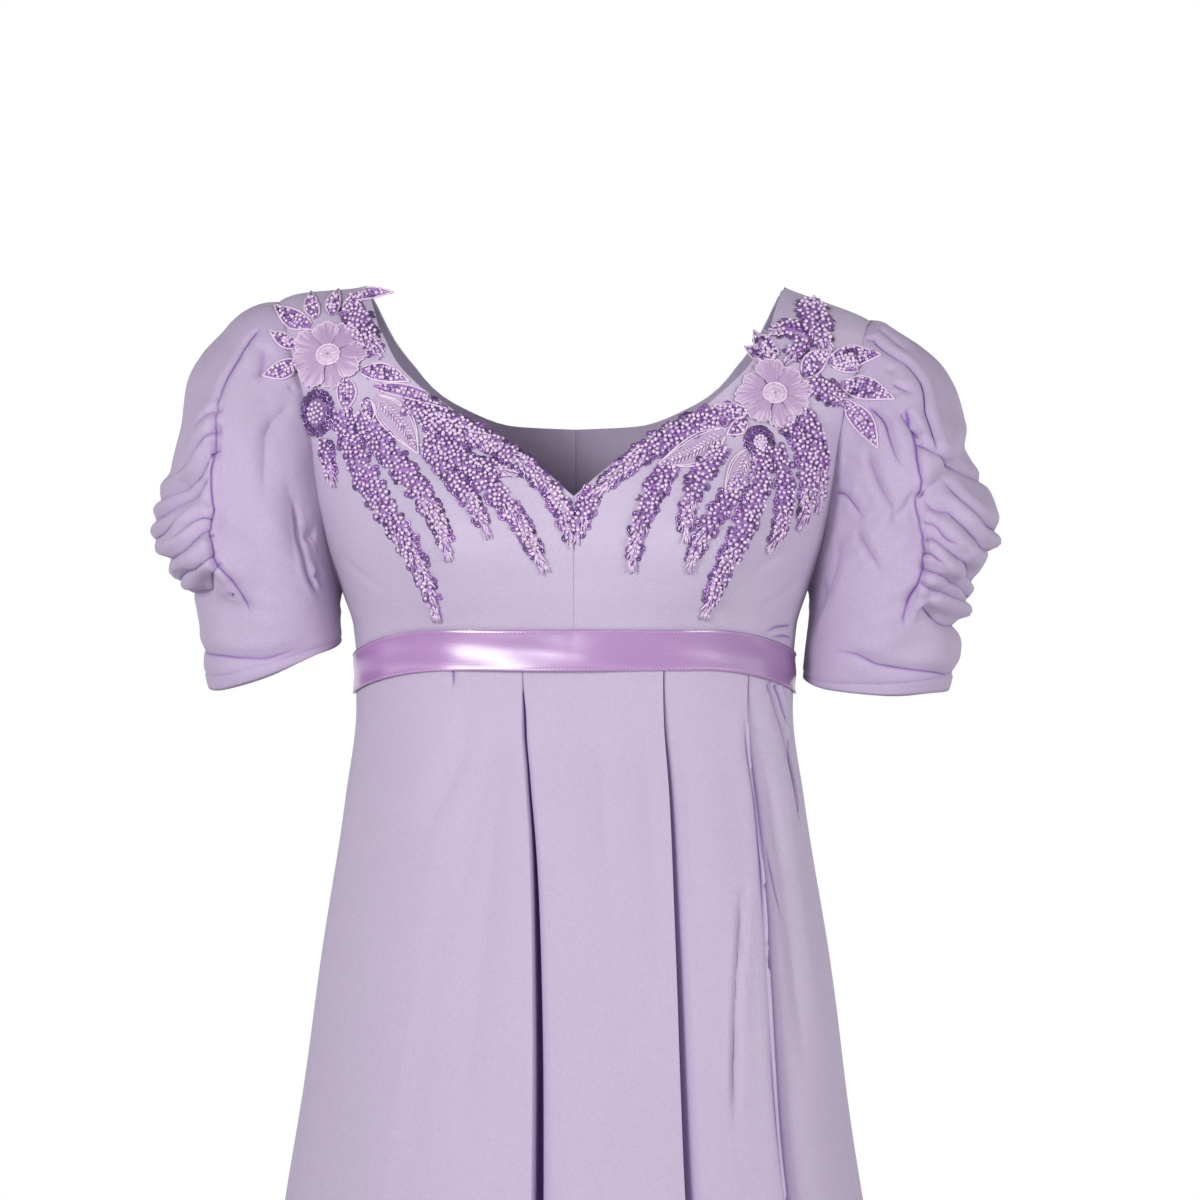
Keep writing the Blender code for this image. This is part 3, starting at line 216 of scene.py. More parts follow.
# Depth and width in tenths of a millimetre. Lap is how many widths the upper side is carried over
# the valley. Start and end are the shares of the length over which the crease comes in and dies
# away. Then come the points of its path: on a sleeve, degrees outward from the slash seam and
# shares of the way to the cuff; on the body, degrees round it and height.
SLEEVE_CREASES = {
    "left": (
        (42, 13, 1.3, .03, .25, (-2, .328), (6, .375), (21, .444), (47, .53), (62, .551),
         (92, .569), (124, .573)),
        (46, 16, .7, .15, .25, (18, .478), (24, .507), (30, .552), (35, .588), (49, .631),
         (79, .649), (111, .653)),
        (60, 16, 1.4, .1, .25, (9, .495), (11, .522), (14, .539), (20, .559), (22, .582),
         (29, .62), (39, .661), (69, .679), (101, .683)),
        (42, 13, 1.3, .05, .5, (6, .546), (10, .565), (12, .593), (18, .624)),
        (64, 16, 1.7, .02, .25, (2, .573), (6, .58), (11, .607), (19, .649), (29, .681),
         (57, .737), (87, .755), (119, .759)),
        (42, 13, 1.3, .05, .5, (0, .595), (4, .604), (8, .631), (11, .654)),
        (64, 16, 1.7, .02, .25, (-1, .626), (6, .654), (22, .702), (55, .766), (85, .784),
         (117, .788)),
        (42, 13, 1.3, .03, .3, (-1, .665), (18, .722), (42, .771), (72, .789), (104, .793)),
        (72, 20, 1.8, .03, .25, (6, .738), (12, .768), (33, .822), (63, .84), (95, .844)),
        (34, 12, .9, .08, .1, (15, 0), (14, .015), (15, .115), (16, .165), (18, .207), (18, .247),
         (16, .276), (12, .314), (12, .365), (14, .42)),
        (30, 42, .3, .3, .4, (26, .022), (26, .087), (26, .139), (25, .176), (25, .199)),
        (16, 30, .2, .3, .5, (9, .16), (4, .165)),
        (24, 10, .9, .2, .6, (2, .181), (4, .209), (9, .256)),
        (16, 30, .2, .3, .5, (1, .202), (-2, .206)),
        (34, 12, .9, .15, .4, (-16, .138), (-14, .18), (-13, .22), (-14, .26), (-13, .31),
         (-6, .385)),
        (42, 13, 1.3, .1, .3, (-3, .248), (-1, .288), (2, .327), (2, .344)),
        (34, 30, .4, .2, .6, (-31, .183), (-29, .255), (-25, .333), (-17, .424), (-4, .551)),
        (16, 30, .2, .2, .6, (-52, .04), (-38, .204), (-31, .263)),
        (24, 10, .9, .1, .6, (-70, .037), (-55, .212), (-45, .311), (-39, .373)),
        (28, 28, .4, .2, .5, (-49, .339), (-40, .427), (-24, .56), (-18, .625)),
        (40, 50, .3, .3, .4, (-79, .173), (-71, .32), (-76, .42), (-88, .5)),
        (26, 40, .3, .3, .4, (-95, .24), (-88, .4), (-92, .56)),
    ),
    "right": (
        (24, 10, .9, .03, .5, (-4, .321), (1, .342), (9, .381), (18, .424)),
        (42, 13, 1.3, .03, .45, (-5, .36), (1, .385), (11, .435), (22, .487), (40, .544)),
        (72, 20, 1.6, .02, .55, (-3, .408), (3, .432), (8, .464), (13, .496), (28, .552),
         (48, .591), (78, .609), (110, .613)),
        (64, 16, 1.7, .1, .25, (2, .471), (12, .52), (23, .573), (34, .603), (53, .63), (83, .648),
         (115, .652)),
        (42, 13, 1.3, .25, .3, (15, .577), (22, .6), (33, .637), (49, .659), (79, .677),
         (111, .681)),
        (42, 13, 1.3, .03, .4, (4, .57), (10, .584), (17, .609), (24, .645)),
        (64, 16, 1.7, .02, .25, (2, .586), (6, .598), (11, .623), (18, .653), (36, .684),
         (66, .702), (98, .706)),
        (24, 10, .9, .05, .5, (1, .597), (4, .605)),
        (64, 16, 1.7, .02, .25, (0, .628), (4, .65), (14, .681), (61, .739), (91, .757),
         (123, .761)),
        (72, 20, 1.8, .03, .25, (-2, .653), (3, .674), (16, .717), (29, .752), (59, .77),
         (91, .774)),
        (52, 50, .3, .25, .4, (-9, .102), (-14, .16), (-14, .207)),
        (22, 34, .2, .2, .5, (-41, .071), (-36, .158), (-31, .245), (-28, .305)),
        (16, 30, .2, .2, .5, (-34, .027), (-32, .084)),
        (30, 80, .2, .3, .35, (-49, .246), (-59, .274), (-65, .347), (-62, .488)),
        (24, 10, .9, .2, .4, (3, .733), (7, .754)),
        (36, 22, .6, .2, .25, (-64, .235), (-67, .317), (-67, .411), (-64, .512), (-67, .57),
         (-76, .6)),
        (24, 10, .9, .2, .4, (-70, .512), (-76, .48), (-82, .49)),
        (60, 30, .4, .3, .3, (-90, .33), (-86, .4), (-88, .47)),
        (30, 44, .2, .3, .4, (-96, .15), (-84, .26), (-74, .35)),
        (22, 40, .2, .25, .45, (-30, .19), (-34, .34), (-30, .46)),
    ),
}
# Creases of the hidden side of each sleeve, much like those in front.
BACK_CREASES = (
    (34, 34, .4, .3, .45, (150, .05), (152, .18), (146, .32), (136, .42)),
    (28, 32, .4, .3, .45, (172, .06), (176, .2), (168, .34)),
    (26, 32, .3, .3, .45, (-150, .1), (-148, .26), (-155, .4)),
    (22, 30, .3, .3, .45, (128, .03), (126, .14), (118, .26)),
    (26, 36, .3, .3, .45, (160, .52), (150, .62), (132, .7)),
    (24, 34, .3, .3, .45, (-160, .6), (-172, .7), (-190, .77)),
)
# The tuck that stands just above each hem.
TUCKS = {
    "left": (26, 16, 1.1, .2, .2, (-60, .78), (-40, .823), (-21, .886), (2, .917), (30, .943),
             (43, .95), (90, .94), (130, .93)),
    "right": (24, 16, 1, .2, .2, (-49, .925), (-17, .936), (4, .917), (33, .899), (90, .9),
              (140, .905)),
}
BODICE_CREASES = {
    "left": (
        (10, 36, .3, .35, .45, (71, -.16), (60, -.17), (53, -.181), (49, -.196)),
        (9, 30, .3, .3, .45, (72, -.186), (64, -.196), (57, -.206)),
        (18, 12, .8, .2, .45, (76, -.214), (68, -.215), (61, -.219)),
        (16, 12, .8, .2, .45, (78, -.222), (70, -.2205), (64, -.221)),
    ),
    "right": (
        (8, 30, .2, .35, .45, (-73, -.168), (-63, -.184), (-55, -.194)),
        (6, 26, .2, .35, .45, (-77, -.198), (-67, -.208)),
    ),
}
# Soft folds of the skirt between the pleats.
SKIRT_CREASES = {
    "skirt_front": (
        (60, 24, .7, .25, .3, (48.3, -.364), (46.8, -.381), (45.2, -.4), (43.7, -.418),
         (42, -.443), (40.5, -.471), (38.5, -.52)),
        (24, 12, 0, .1, .4, (56.2, -.262), (55.4, -.3), (53.8, -.35), (51.8, -.4), (50.5, -.44),
         (49.2, -.5), (48.2, -.6)),
        (16, 14, .4, .45, .3, (57, -.34), (58.5, -.369), (59.2, -.382), (60, -.394)),
        (14, 10, .4, .02, .6, (-40.6, -.24), (-40.5, -.246), (-40.7, -.252)),
        (36, 80, .1, .25, .6, (-27, -.262), (-30, -.32), (-34, -.41)),
        (30, 80, .1, .25, .6, (-33, -.262), (-38, -.3), (-45, -.35)),
        (26, 90, .1, .25, .6, (-23, -.262), (-24, -.32), (-26, -.43), (-27, -.56)),
        (24, 70, .1, .25, .6, (8, -.262), (10, -.33), (11, -.42)),
        (20, 80, .1, .25, .6, (25, -.262), (24, -.35), (22, -.47)),
        (18, 90, .1, .25, .6, (37, -.262), (35, -.35), (33, -.47)),
        (40, 70, .1, .3, .4, (61, -.275), (62, -.33), (61.5, -.4), (60, -.5)),
        (50, 15, .9, .03, .3, (65.4, -.2475), (69.1, -.265), (72, -.283), (73, -.304),
         (73.4, -.324), (74, -.348)),
        (42, 13, .7, .03, .4, (68.3, -.249), (71.8, -.263), (75.2, -.281), (75, -.297)),
        (30, 11, .6, .03, .4, (72, -.25), (77, -.268), (79, -.29)),
        (22, 70, .2, .25, .5, (-84, -.3), (-83, -.36), (-82, -.46), (-80, -.6)),
        (30, 120, .2, .3, .5, (-60, -.5), (-60, -.8), (-58, -1.2)),
        (36, 140, .2, .3, .4, (-26, -.62), (-27, -.9), (-26, -1.34)),
        (30, 120, .2, .3, .4, (10, -.56), (9, -.85), (8, -1.34)),
    ),
    "skirt_back_left": (
        (24, 80, .2, .2, .5, (108, -.262), (110, -.34), (112, -.47)),
        (22, 80, .2, .2, .5, (130, -.262), (131, -.33), (132, -.52)),
        (24, 90, .2, .2, .5, (151, -.262), (151, -.36), (152, -.56)),
        (30, 130, .2, .3, .4, (133, -.7), (133, -1), (134, -1.36)),
        (30, 130, .2, .3, .4, (172, -.64), (172, -.95), (171, -1.36)),
    ),
    "skirt_back_right": (
        (24, 80, .2, .2, .5, (-109, -.262), (-111, -.35), (-112, -.49)),
        (22, 80, .2, .2, .5, (-131, -.262), (-131, -.32), (-133, -.5)),
        (24, 90, .2, .2, .5, (-152, -.262), (-151, -.35), (-151, -.54)),
        (30, 130, .2, .3, .4, (-133, -.68), (-134, -.98), (-134, -1.36)),
        (30, 130, .2, .3, .4, (-171, -.66), (-172, -.95), (-171, -1.36)),
    ),
}
SEAM_LINE = (4, 8, 0, .01, .01)  # a pressed seam between two panels
SLASH_LINE = (22, 11, .4, .04, .06)
HEM_LINE = (6, 8, 0, .01, .01, *((turn, .957) for turn in range(-175, 180, 25)))
STITCH = 0.00016                 # radius of a stitch's thread
HEM_STITCHES = 0.020             # height of the stitches over the skirt's hem

# ---- motifs ----

# As seen from the front: x and height of where each form starts, its length, its direction in
# degrees (0 is straight down, growing towards the left arm) and its width.
SPRAYS = {
    "right": (
        (-.139, -.016, .038, 22, 32, 38, .016), (-.092, -.088, .05, 72, 68, 62, .014),
        (-.104, -.08, .126, 74, 58, 30, .012), (-.142, -.082, .143, 14, 34, 12, .014),
        (-.132, -.084, .108, 38, 40, 6, .013), (-.09, -.104, .068, 42, 38, 20, .01),
        (-.088, -.098, .11, 56, 42, 20, .012), (-.058, -.116, .022, 72, 72, 72, .008),
        (-.1525, -.1, .027, 10, 12, 14, .0075), (-.0135, -.13, .037, 27, 21, 10, .01),
    ),
    "left": (
        (.145, -.01, .036, 16, 14, 10, .018), (.138, -.029, .02, -74, -74, -74, .009),
        (.141, -.039, .016, -40, -42, -42, .011), (.144, -.065, .027, 60, 66, 70, .013),
        (.096, -.084, .101, -76, -57, -44, .013), (.058, -.118, .066, -36, -22, 0, .011),
        (.09, -.106, .062, -46, -24, 4, .011), (.1, -.126, .062, -36, -34, -14, .01),
        (.113, -.106, .109, 2, -26, -20, .013), (.122, -.106, .064, 24, -4, -30, .011),
        (.128, -.091, .068, 54, 2, -20, .011), (.138, -.083, .063, 46, 4, -8, .01),
        (.0135, -.13, .034, -27, -21, -12, .01),
    ),
}
LEAVES = {
    "right": (
        (-.163, -.029, .029, -121, .012), (-.16, -.024, .02, -164, .009),
        (-.15, -.022, .019, 176, .009), (-.142, -.022, .02, 150, .009),
        (-.143, -.0105, .03, 98, .008), (-.17, -.041, .021, -116, .009),
        (-.172, -.051, .022, -64, .011), (-.13, -.058, .031, 76, .011),
        (-.14, -.062, .022, 0, .012), (-.121, -.075, .045, 38, .018),
        (-.122, -.068, .052, 72, .008), (-.128, -.076, .015, 20, .009),
    ),
    "left": (
        (.14, -.061, .024, 134, .013), (.1233, -.0503, .02, -116, .009),
        (.124, -.05, .023, -146, .01), (.156, -.052, .034, 99, .014),
        (.157, -.052, .019, 75, .009), (.164, -.065, .034, 73, .014),
        (.167, -.076, .035, 33, .012), (.105, -.0845, .021, -101, .009),
        (.104, -.089, .015, -52, .009), (.09, -.097, .044, -63, .018),
        (.106, -.108, .031, -31, .016),
    ),
}
# Middle, half width and half height of each flower and of each cluster of pearls.
FLOWERS = {"right": (-.1505, -.048, .0235, .0205), "left": (.1215, -.0725, .024, .0205)}
STUDS = {"right": (-.1575, -.083, .01, .0135), "left": (.112, -.103, .008, .009)}

# ---- curves and tables ----


def cubic(places, values, at):
    """Shape-keeping cubic through (places, values), with places growing, read at any places."""
    places, values = np.asarray(places, float), np.asarray(values, float)
    step = np.diff(places)
    slope = np.diff(values) / step
    product = slope[1:] * slope[:-1]
    total = np.where(product > 0, slope[1:] + slope[:-1], 1.0)
    inner = np.where(product > 0, 2 * product / total, 0.0)
    tangent = np.concatenate(([slope[0]], inner, [slope[-1]]))
    index = np.clip(np.searchsorted(places, at) - 1, 0, len(step) - 1)
    t = np.clip((at - places[index]) / step[index], 0, 1)
    return (values[index] * (1 + 2 * t) * (1 - t) ** 2 + values[index + 1] * t * t * (3 - 2 * t)
            + step[index] * tangent[index] * t * (1 - t) ** 2
            + step[index] * tangent[index + 1] * t * t * (t - 1))


def body_round(height):
    """The body table's other columns at any heights."""
    heights, *columns = zip(*BODY)
    return [cubic(heights, column, height) for column in columns]


def lengths(path):
    """Length along a path up to each of its points."""
    return np.concatenate(([0], np.cumsum(np.linalg.norm(np.diff(path, axis=0), axis=1))))


def along(points, t):
    """Smooth path through (angle in degrees, height) points, t from 0 to 1 by length."""
    points = np.asarray(points, float)
    length = lengths(points * (math.radians(BODY_SCALE[0]), 1.0))
    length /= length[-1]
    return np.stack([np.radians(cubic(length, points[:, 0], t)),
                     cubic(length, points[:, 1], t)], -1)


def neckline(points, back):
    """Neckline points as (angle in degrees, height) on the body."""
    edge = []
    for x, height in points:
        half_width, front, rear, _, power = (float(value) for value in body_round(height))
        depth = (rear if back else front) * max(0, 1 - (x / half_width) ** power) ** (1 / power)
        angle = math.degrees(math.atan2(x, depth))
        edge.append((180 - angle if back else angle, height))
    edge[-1] = (90, points[-1][1])
    return edge


def smoothstep(value):
    """0 below 0, 1 above 1 and a smooth rise between."""
    value = np.clip(value, 0, 1)
    return value * value * (3 - 2 * value)


def unit(vectors):
    """Vectors at length 1."""
    return vectors / np.maximum(np.linalg.norm(vectors, axis=-1, keepdims=True), 1e-12)


# ---- surfaces ----


def waist(angle):
    """Height of the waist seam, which arches up over the front."""
    return WAIST_SIDE + (WAIST_FRONT - WAIST_SIDE) * smoothstep(np.cos(angle) / ARCH_SPREAD)


def outward(angle):
    """Level directions away from the gown's middle."""
    return np.stack([np.sin(angle), -np.cos(angle), 0 * angle], -1)


def body(angle, height):
    """Point of the gown's body surface, without pleats."""
    half_width, front, back, centre, power = body_round(height)
    sine, cosine = np.sin(angle), np.cos(angle)
    depth = np.where(cosine >= 0, front, back)
    reach = (np.abs(sine / half_width) ** power
             + np.abs(cosine / depth) ** power) ** (-1 / power)
    x = reach * sine
    off_bust = (np.abs(x) - BUST_X) ** 2 + (height - BUST_HEIGHT) ** 2
    bust = BUST_FULLNESS * np.exp(-off_bust / (2 * BUST_SPREAD ** 2)) * np.clip(cosine, 0, 1)
    y = centre - reach * cosine - bust
    lift = (smoothstep((-x - RAISE_X) / RAISE_ACROSS)
            * smoothstep((height - RAISE_HEIGHT) / RAISE_UP))
    return np.stack([x, y, height + SHOULDER_RAISE * lift], -1)


def body_out(angle, height, step=2e-4):
    """Outward normal of the body surface; the step stays inside the table at the strap tops."""
    height = np.minimum(height, -2 * step)
    across = body(angle + step, height) - body(angle - step, height)
    up = body(angle, height + step) - body(angle, height - step)
    return unit(np.cross(across, up))


def pleat(row, height):
    """A pleat's centre in degrees, depth, width and slit at the given heights."""
    sizes = np.array(row[3:12]) / TENTHS
    depth, width = (cubic(PLEAT_HEIGHTS, sizes[first:first + 3][::-1], height)
                    for first in (0, 3))
    centre = cubic(*PLEAT_LINES.get(row[0], (PLEAT_HEIGHTS, row[2::-1])), height)
    hem, middle, top = PLEAT_HEIGHTS
    share = np.clip((top - height) / (top - middle), 0, 1) ** SLIT_GROWTH
    below = np.clip((middle - height) / (middle - hem), 0, 1)
    return centre, depth, width, (sizes[6] + (sizes[7] - sizes[6]) * share
                                  + (sizes[8] - sizes[7]) * below)


def skirt_parts(angle, height):
    """Point of the pleated skirt, and the painted shade in and just past each slit, from 0 to 1.

    The cloth stands out before each slit and lies low past it.
    """
    below = waist(angle) - RIBBON_HEIGHT / 2 - height
    start, opened = smoothstep((below - PLEAT_START) / PLEAT_FADE), smoothstep(below / SLIT_FADE)
    reach = np.linalg.norm(body(angle, height)[..., :2], axis=-1)
    near_foot, far_foot, far_top = SLIT_WALLS
    push, inside = np.zeros_like(reach), np.zeros_like(reach)
    for row in PLEATS:
        centre, depth, width, slit = pleat(row, height)
        away = (angle - np.radians(centre) + math.pi) % TURN - math.pi
        past = -away * reach * row[-1]
        present = smoothstep((slit - NO_SLIT) / CLEAR_SLIT)
        wall = smoothstep(past / (slit * near_foot + width * (1 - present)))
        far_wall = smoothstep((past / slit - far_foot) / (far_top - far_foot))
        clear = opened * present
        push += start * depth * (LIP * (1 - wall) * np.exp(-(past / width / LIP_SPREAD) ** 2)
                                 - GROOVE * wall * np.exp(-(past / width / GROOVE_SPREAD) ** 2))
        push -= clear * np.minimum(SLIT_DEPTH * slit, SLIT_MOST) * wall * (1 - far_wall)
        # Painted shade: full inside a slit, and a lighter painted shadow on and just past its far
        # wall.
        band = HALF_SHADE * np.exp(-(np.maximum(past / slit - far_top, 0) / SHADE_REACH) ** 2)
        inside = np.maximum(inside, clear * wall * np.maximum(1 - far_wall * 3, band))
    return body(angle, height) + push[..., None] * outward(angle), inside


def skirt(angle, height):
    """Point of the pleated skirt."""
    return skirt_parts(angle, height)[0]


def armhole(side, turn):
    """Edge of the armhole on the body, turn in degrees from the shoulder past the front, and the
    way from it to the armhole's middle."""
    front = along(ARMHOLE_FRONT, np.clip(turn / 180, 0, 1))
    back = along(ARMHOLE_BACK, np.clip((360 - turn) / 180, 0, 1))
    edge = np.where((turn <= 180)[..., None], front, back)
    edge[..., 0] *= side
    middle = np.array([side * math.radians(90), ARMHOLE_MIDDLE])
    return edge, unit((middle - edge) * BODY_SCALE)


def raised(place, rise):
    """Points above the body at (angle, height) places."""
    return body(place[..., 0], place[..., 1]) + rise * body_out(place[..., 0], place[..., 1])


def round_table(rows, column, turn):
    """Column of a table with equally spaced rows round a loop, read between its rows."""
    values = np.array([row[column] for row in rows])
    place = (turn % 360) / 360 * len(rows)
    index = np.floor(place).astype(int)
    t = place - index
    before, here, after, later = (values[(index + shift) % len(rows)] for shift in (-1, 0, 1, 2))
    return here + t / 2 * (after - before + t * (
        2 * before - 5 * here + 4 * after - later + t * (3 * (here - after) + later - before)))


def side_of(name):
    """1 for the wearer's left and -1 for the right."""
    return 1 if name == "left" else -1


def sleeve_base(name, turn, drop):
    """Point of a sleeve before its gathers, drop from 0 at the armhole to 1 at the cuff."""
    side = side_of(name)
    edge, inward = armhole(side, turn % 360)
    start = raised(edge + inward * (2 * SEAM_GAP) / BODY_SCALE, SEAM_GAP)
    leave, cuff, arrive = (
        np.stack([round_table(SLEEVES[name], first + axis, turn) for axis in range(3)], -1)
        for first in (0, 3, 6))
    mirror = np.array([side, 1, 1])
    first, second, end = start + leave * mirror, (cuff + arrive) * mirror, cuff * mirror
    t = drop[..., None]
    lean = np.radians(turn - FULLEST)
    full, *evened = (cubic(*zip(*FULLNESS[name]), at) for at in (
        drop, *(np.clip(drop + step, 0, 1) for step in np.linspace(-EVEN_REACH, EVEN_REACH, 7))))
    full = full + (np.mean(evened, axis=0) - full) * smoothstep((EVEN_FROM - np.cos(lean)) / 0.5)
    full = full * smoothstep(0.5 + np.cos(lean)) * smoothstep(drop * (1 - drop) * 12)
    swell = np.stack([side * np.cos(lean), -np.sin(lean), 0 * lean], -1) * full[..., None]
    return ((1 - t) ** 3 * start + 3 * (1 - t) ** 2 * t * first
            + 3 * (1 - t) * t * t * second + t ** 3 * end + swell)


def sleeve_turned(name, away, drop):
    """Point of a sleeve before its gathers, away degrees outward from the slash seam."""
    top, low, settled = SEAMS[name]
    return sleeve_base(name, top + (low - top) * smoothstep(drop / settled) - away, drop)


def sleeve_out(name, away, drop):
    """Outward normal of a sleeve before its gathers."""
    before, after = np.maximum(drop - 1e-3, 0), np.minimum(drop + 1e-3, 1)
    out = unit(np.cross(sleeve_turned(name, away - 1, drop) - sleeve_turned(name, away + 1, drop),
                        sleeve_turned(name, away, after) - sleeve_turned(name, away, before)))
    return out * side_of(name)


def sleeve(name, away, drop):
    """Point of a sleeve, with the gathered cloth swelling out beside the slash seam.

    Below 0, drop runs under the edge of the bodice, and above 1 up inside the hem.
    """
    inside_hem, under = np.maximum(drop - 1, 0), np.clip(-drop, 0, 1)
    drop = np.clip(np.where(drop > 1, 2 - drop, drop), 0, 1)
    fan = smoothstep(away / FAN)
    top_near, low_near, top_far, low_far = SWELL[name]
    top, low = top_near + (top_far - top_near) * fan, low_near + (low_far - low_near) * fan
    inside = (smoothstep((drop - top) / SWELL_IN + 0.5)
              * smoothstep((low - drop) / SWELL_OUT + 0.5))
    begin, end = (smoothstep((away - start) / over) for start, over in (SWELL_NEAR, SWELL_FAR))
    rise = (SWELL_HEIGHT * inside * (begin * (1 - end))
            - HEM_INSET * np.minimum(inside_hem / HEM_TURN, 1))
    spot = sleeve_turned(name, away, drop) + rise[..., None] * sleeve_out(name, away, drop)
    if not under.any():
        return spot
    edge, inward = armhole(side_of(name), (SEAMS[name][0] - away) % 360)
    down = np.clip(under / UNDER, 0, 1)[..., None]
    along_body = np.clip(under / UNDER - 1, 0, 1)[..., None]
    low = raised(edge - TUCKED * along_body * inward / BODY_SCALE, -SUNK)
    return np.where(under[..., None] > 0, spot + (low - spot) * down, spot)


# ---- cloth ----


def path_on(surface, points):
    """A crease's path on a surface, from its (degrees, v) points."""
    points = np.asarray([(math.radians(angle), v) for angle, v in points])
    places = np.linspace(0, 1, len(points))
    at = np.linspace(0, 1, 6 * len(points))
    return surface(cubic(places, points[:, 0], at), cubic(places, points[:, 1], at))


def nearest_on(path, points):
    """Distance from points to a path, the way to it, the share along it and its direction."""
    step = np.diff(path, axis=0)
    size = np.maximum((step ** 2).sum(1), 1e-12)
    away = points[:, None] - path[None, :-1]
    t = np.clip((away * step).sum(2) / size, 0, 1)
    off = away - t[..., None] * step
    distance = np.linalg.norm(off, axis=2)
    which, rows = distance.argmin(1), np.arange(len(points))
    length = np.concatenate(([0], np.cumsum(np.sqrt(size))))
    share = (length[which] + t[rows, which] * np.sqrt(size[which])) / length[-1]
    return distance[rows, which], off[rows, which], share, step[which]


def boxed(points, path, margin):
    """Which points lie in the box round a path, with a margin."""
    return ((points > path.min(0) - margin) & (points < path.max(0) + margin)).all(1)


def press(points, normals, creases, side):
    """Points with creases pressed in, each a valley with its upper side carried over it, and the
    painted shade that each point takes along a sharp crease, from 0 to 1.

    A narrow crease is a sharp line in a wider, shallower trough.
    """
    moved, inside = np.zeros_like(points), np.zeros(len(points))
    for depth, width, lap, start, end, path in creases:
        wide = TROUGH if width < SHARP else 1
        near = np.flatnonzero(boxed(points, path, 5 * width * wide))
        if not len(near):
            continue
        distance, off, share, direction = nearest_on(path, points[near])
        across = unit(np.cross(direction, normals[near])) * side
        off = np.where((off * across).sum(1) < 0, -1, 1) * distance / width
        broad = off / wide
        strength = smoothstep(share / start) * smoothstep((1 - share) / end)
        valley = -0.55 * np.exp(-np.abs(off) ** 1.35) - 0.45 * np.exp(-np.abs(broad) ** 1.5)
        lips = (0.30 * np.exp(-((broad + 2.0) / 1.1) ** 2)
                + 0.16 * np.exp(-((broad - 2.2) / 1.3) ** 2))
        carry = lap * width * np.exp(-((off + 0.8) / 0.65) ** 2)
        moved[near] += ((strength * depth * (valley + lips))[:, None] * normals[near]
                        + (strength * carry)[:, None] * across)
        # Painted shade: a dark line of colour along each steep, narrow crease.
        steep = min(max((depth / width - STEEP) / STEEP, 0), 1) * (1 if width < SHARP else 0.5)
        line = distance / min(0.85 * width, SHADE_LINE)
        inside[near] = np.maximum(inside[near], steep * strength * np.exp(-line ** 2))
    far = np.linalg.norm(moved, axis=1)
    kept = MOST_PRESSED * np.tanh(far / MOST_PRESSED) / np.maximum(far, 1e-9)
    return points + moved * kept[:, None], inside


def ripple(points, size, height):
    """Gentle unevenness of hanging cloth, as a sum of waves."""
    x, y, z = (points / size).T
    return height * (np.sin(1.7 * x + 0.9 * z + 1.3) * np.cos(0.8 * z - 1.1 * y)
                     + 0.6 * np.sin(2.9 * z + 1.9 * x - 0.7 * y + 0.4)
                     + 0.4 * np.cos(4.3 * x - 2.3 * z + 3.1 * y))


def cell(row, column, columns):
    """Corners of one face of a grid, whose columns may join round."""
    here, after = row * columns, (column + 1) % columns
    return [here + column, here + after, here + columns + after, here + columns + column]


def cut_finer(mesh, creases, fine):
    """Cut a mesh's edges beside its creases, in rounds."""
    for distance, uncut in fine:
        mesh.verts.index_update()
        here = np.array([corner.co for corner in mesh.verts])
        close = np.zeros(len(here), bool)
        for _, width, _, _, _, path in creases:
            if uncut < FINEST and width > SHARP:
                continue
            margin = min(distance, 3 * width + 0.002)
            near = np.flatnonzero(boxed(here, path, margin) & ~close)
            if len(near):
                close[near] = nearest_on(path, here[near])[0] < margin
        cut = [edge for edge in mesh.edges if edge.calc_length() > uncut
               and close[edge.verts[0].index] and close[edge.verts[1].index]]
        bmesh.ops.subdivide_edges(mesh, edges=cut, cuts=1, use_grid_fill=True)
    mesh.verts.index_update()


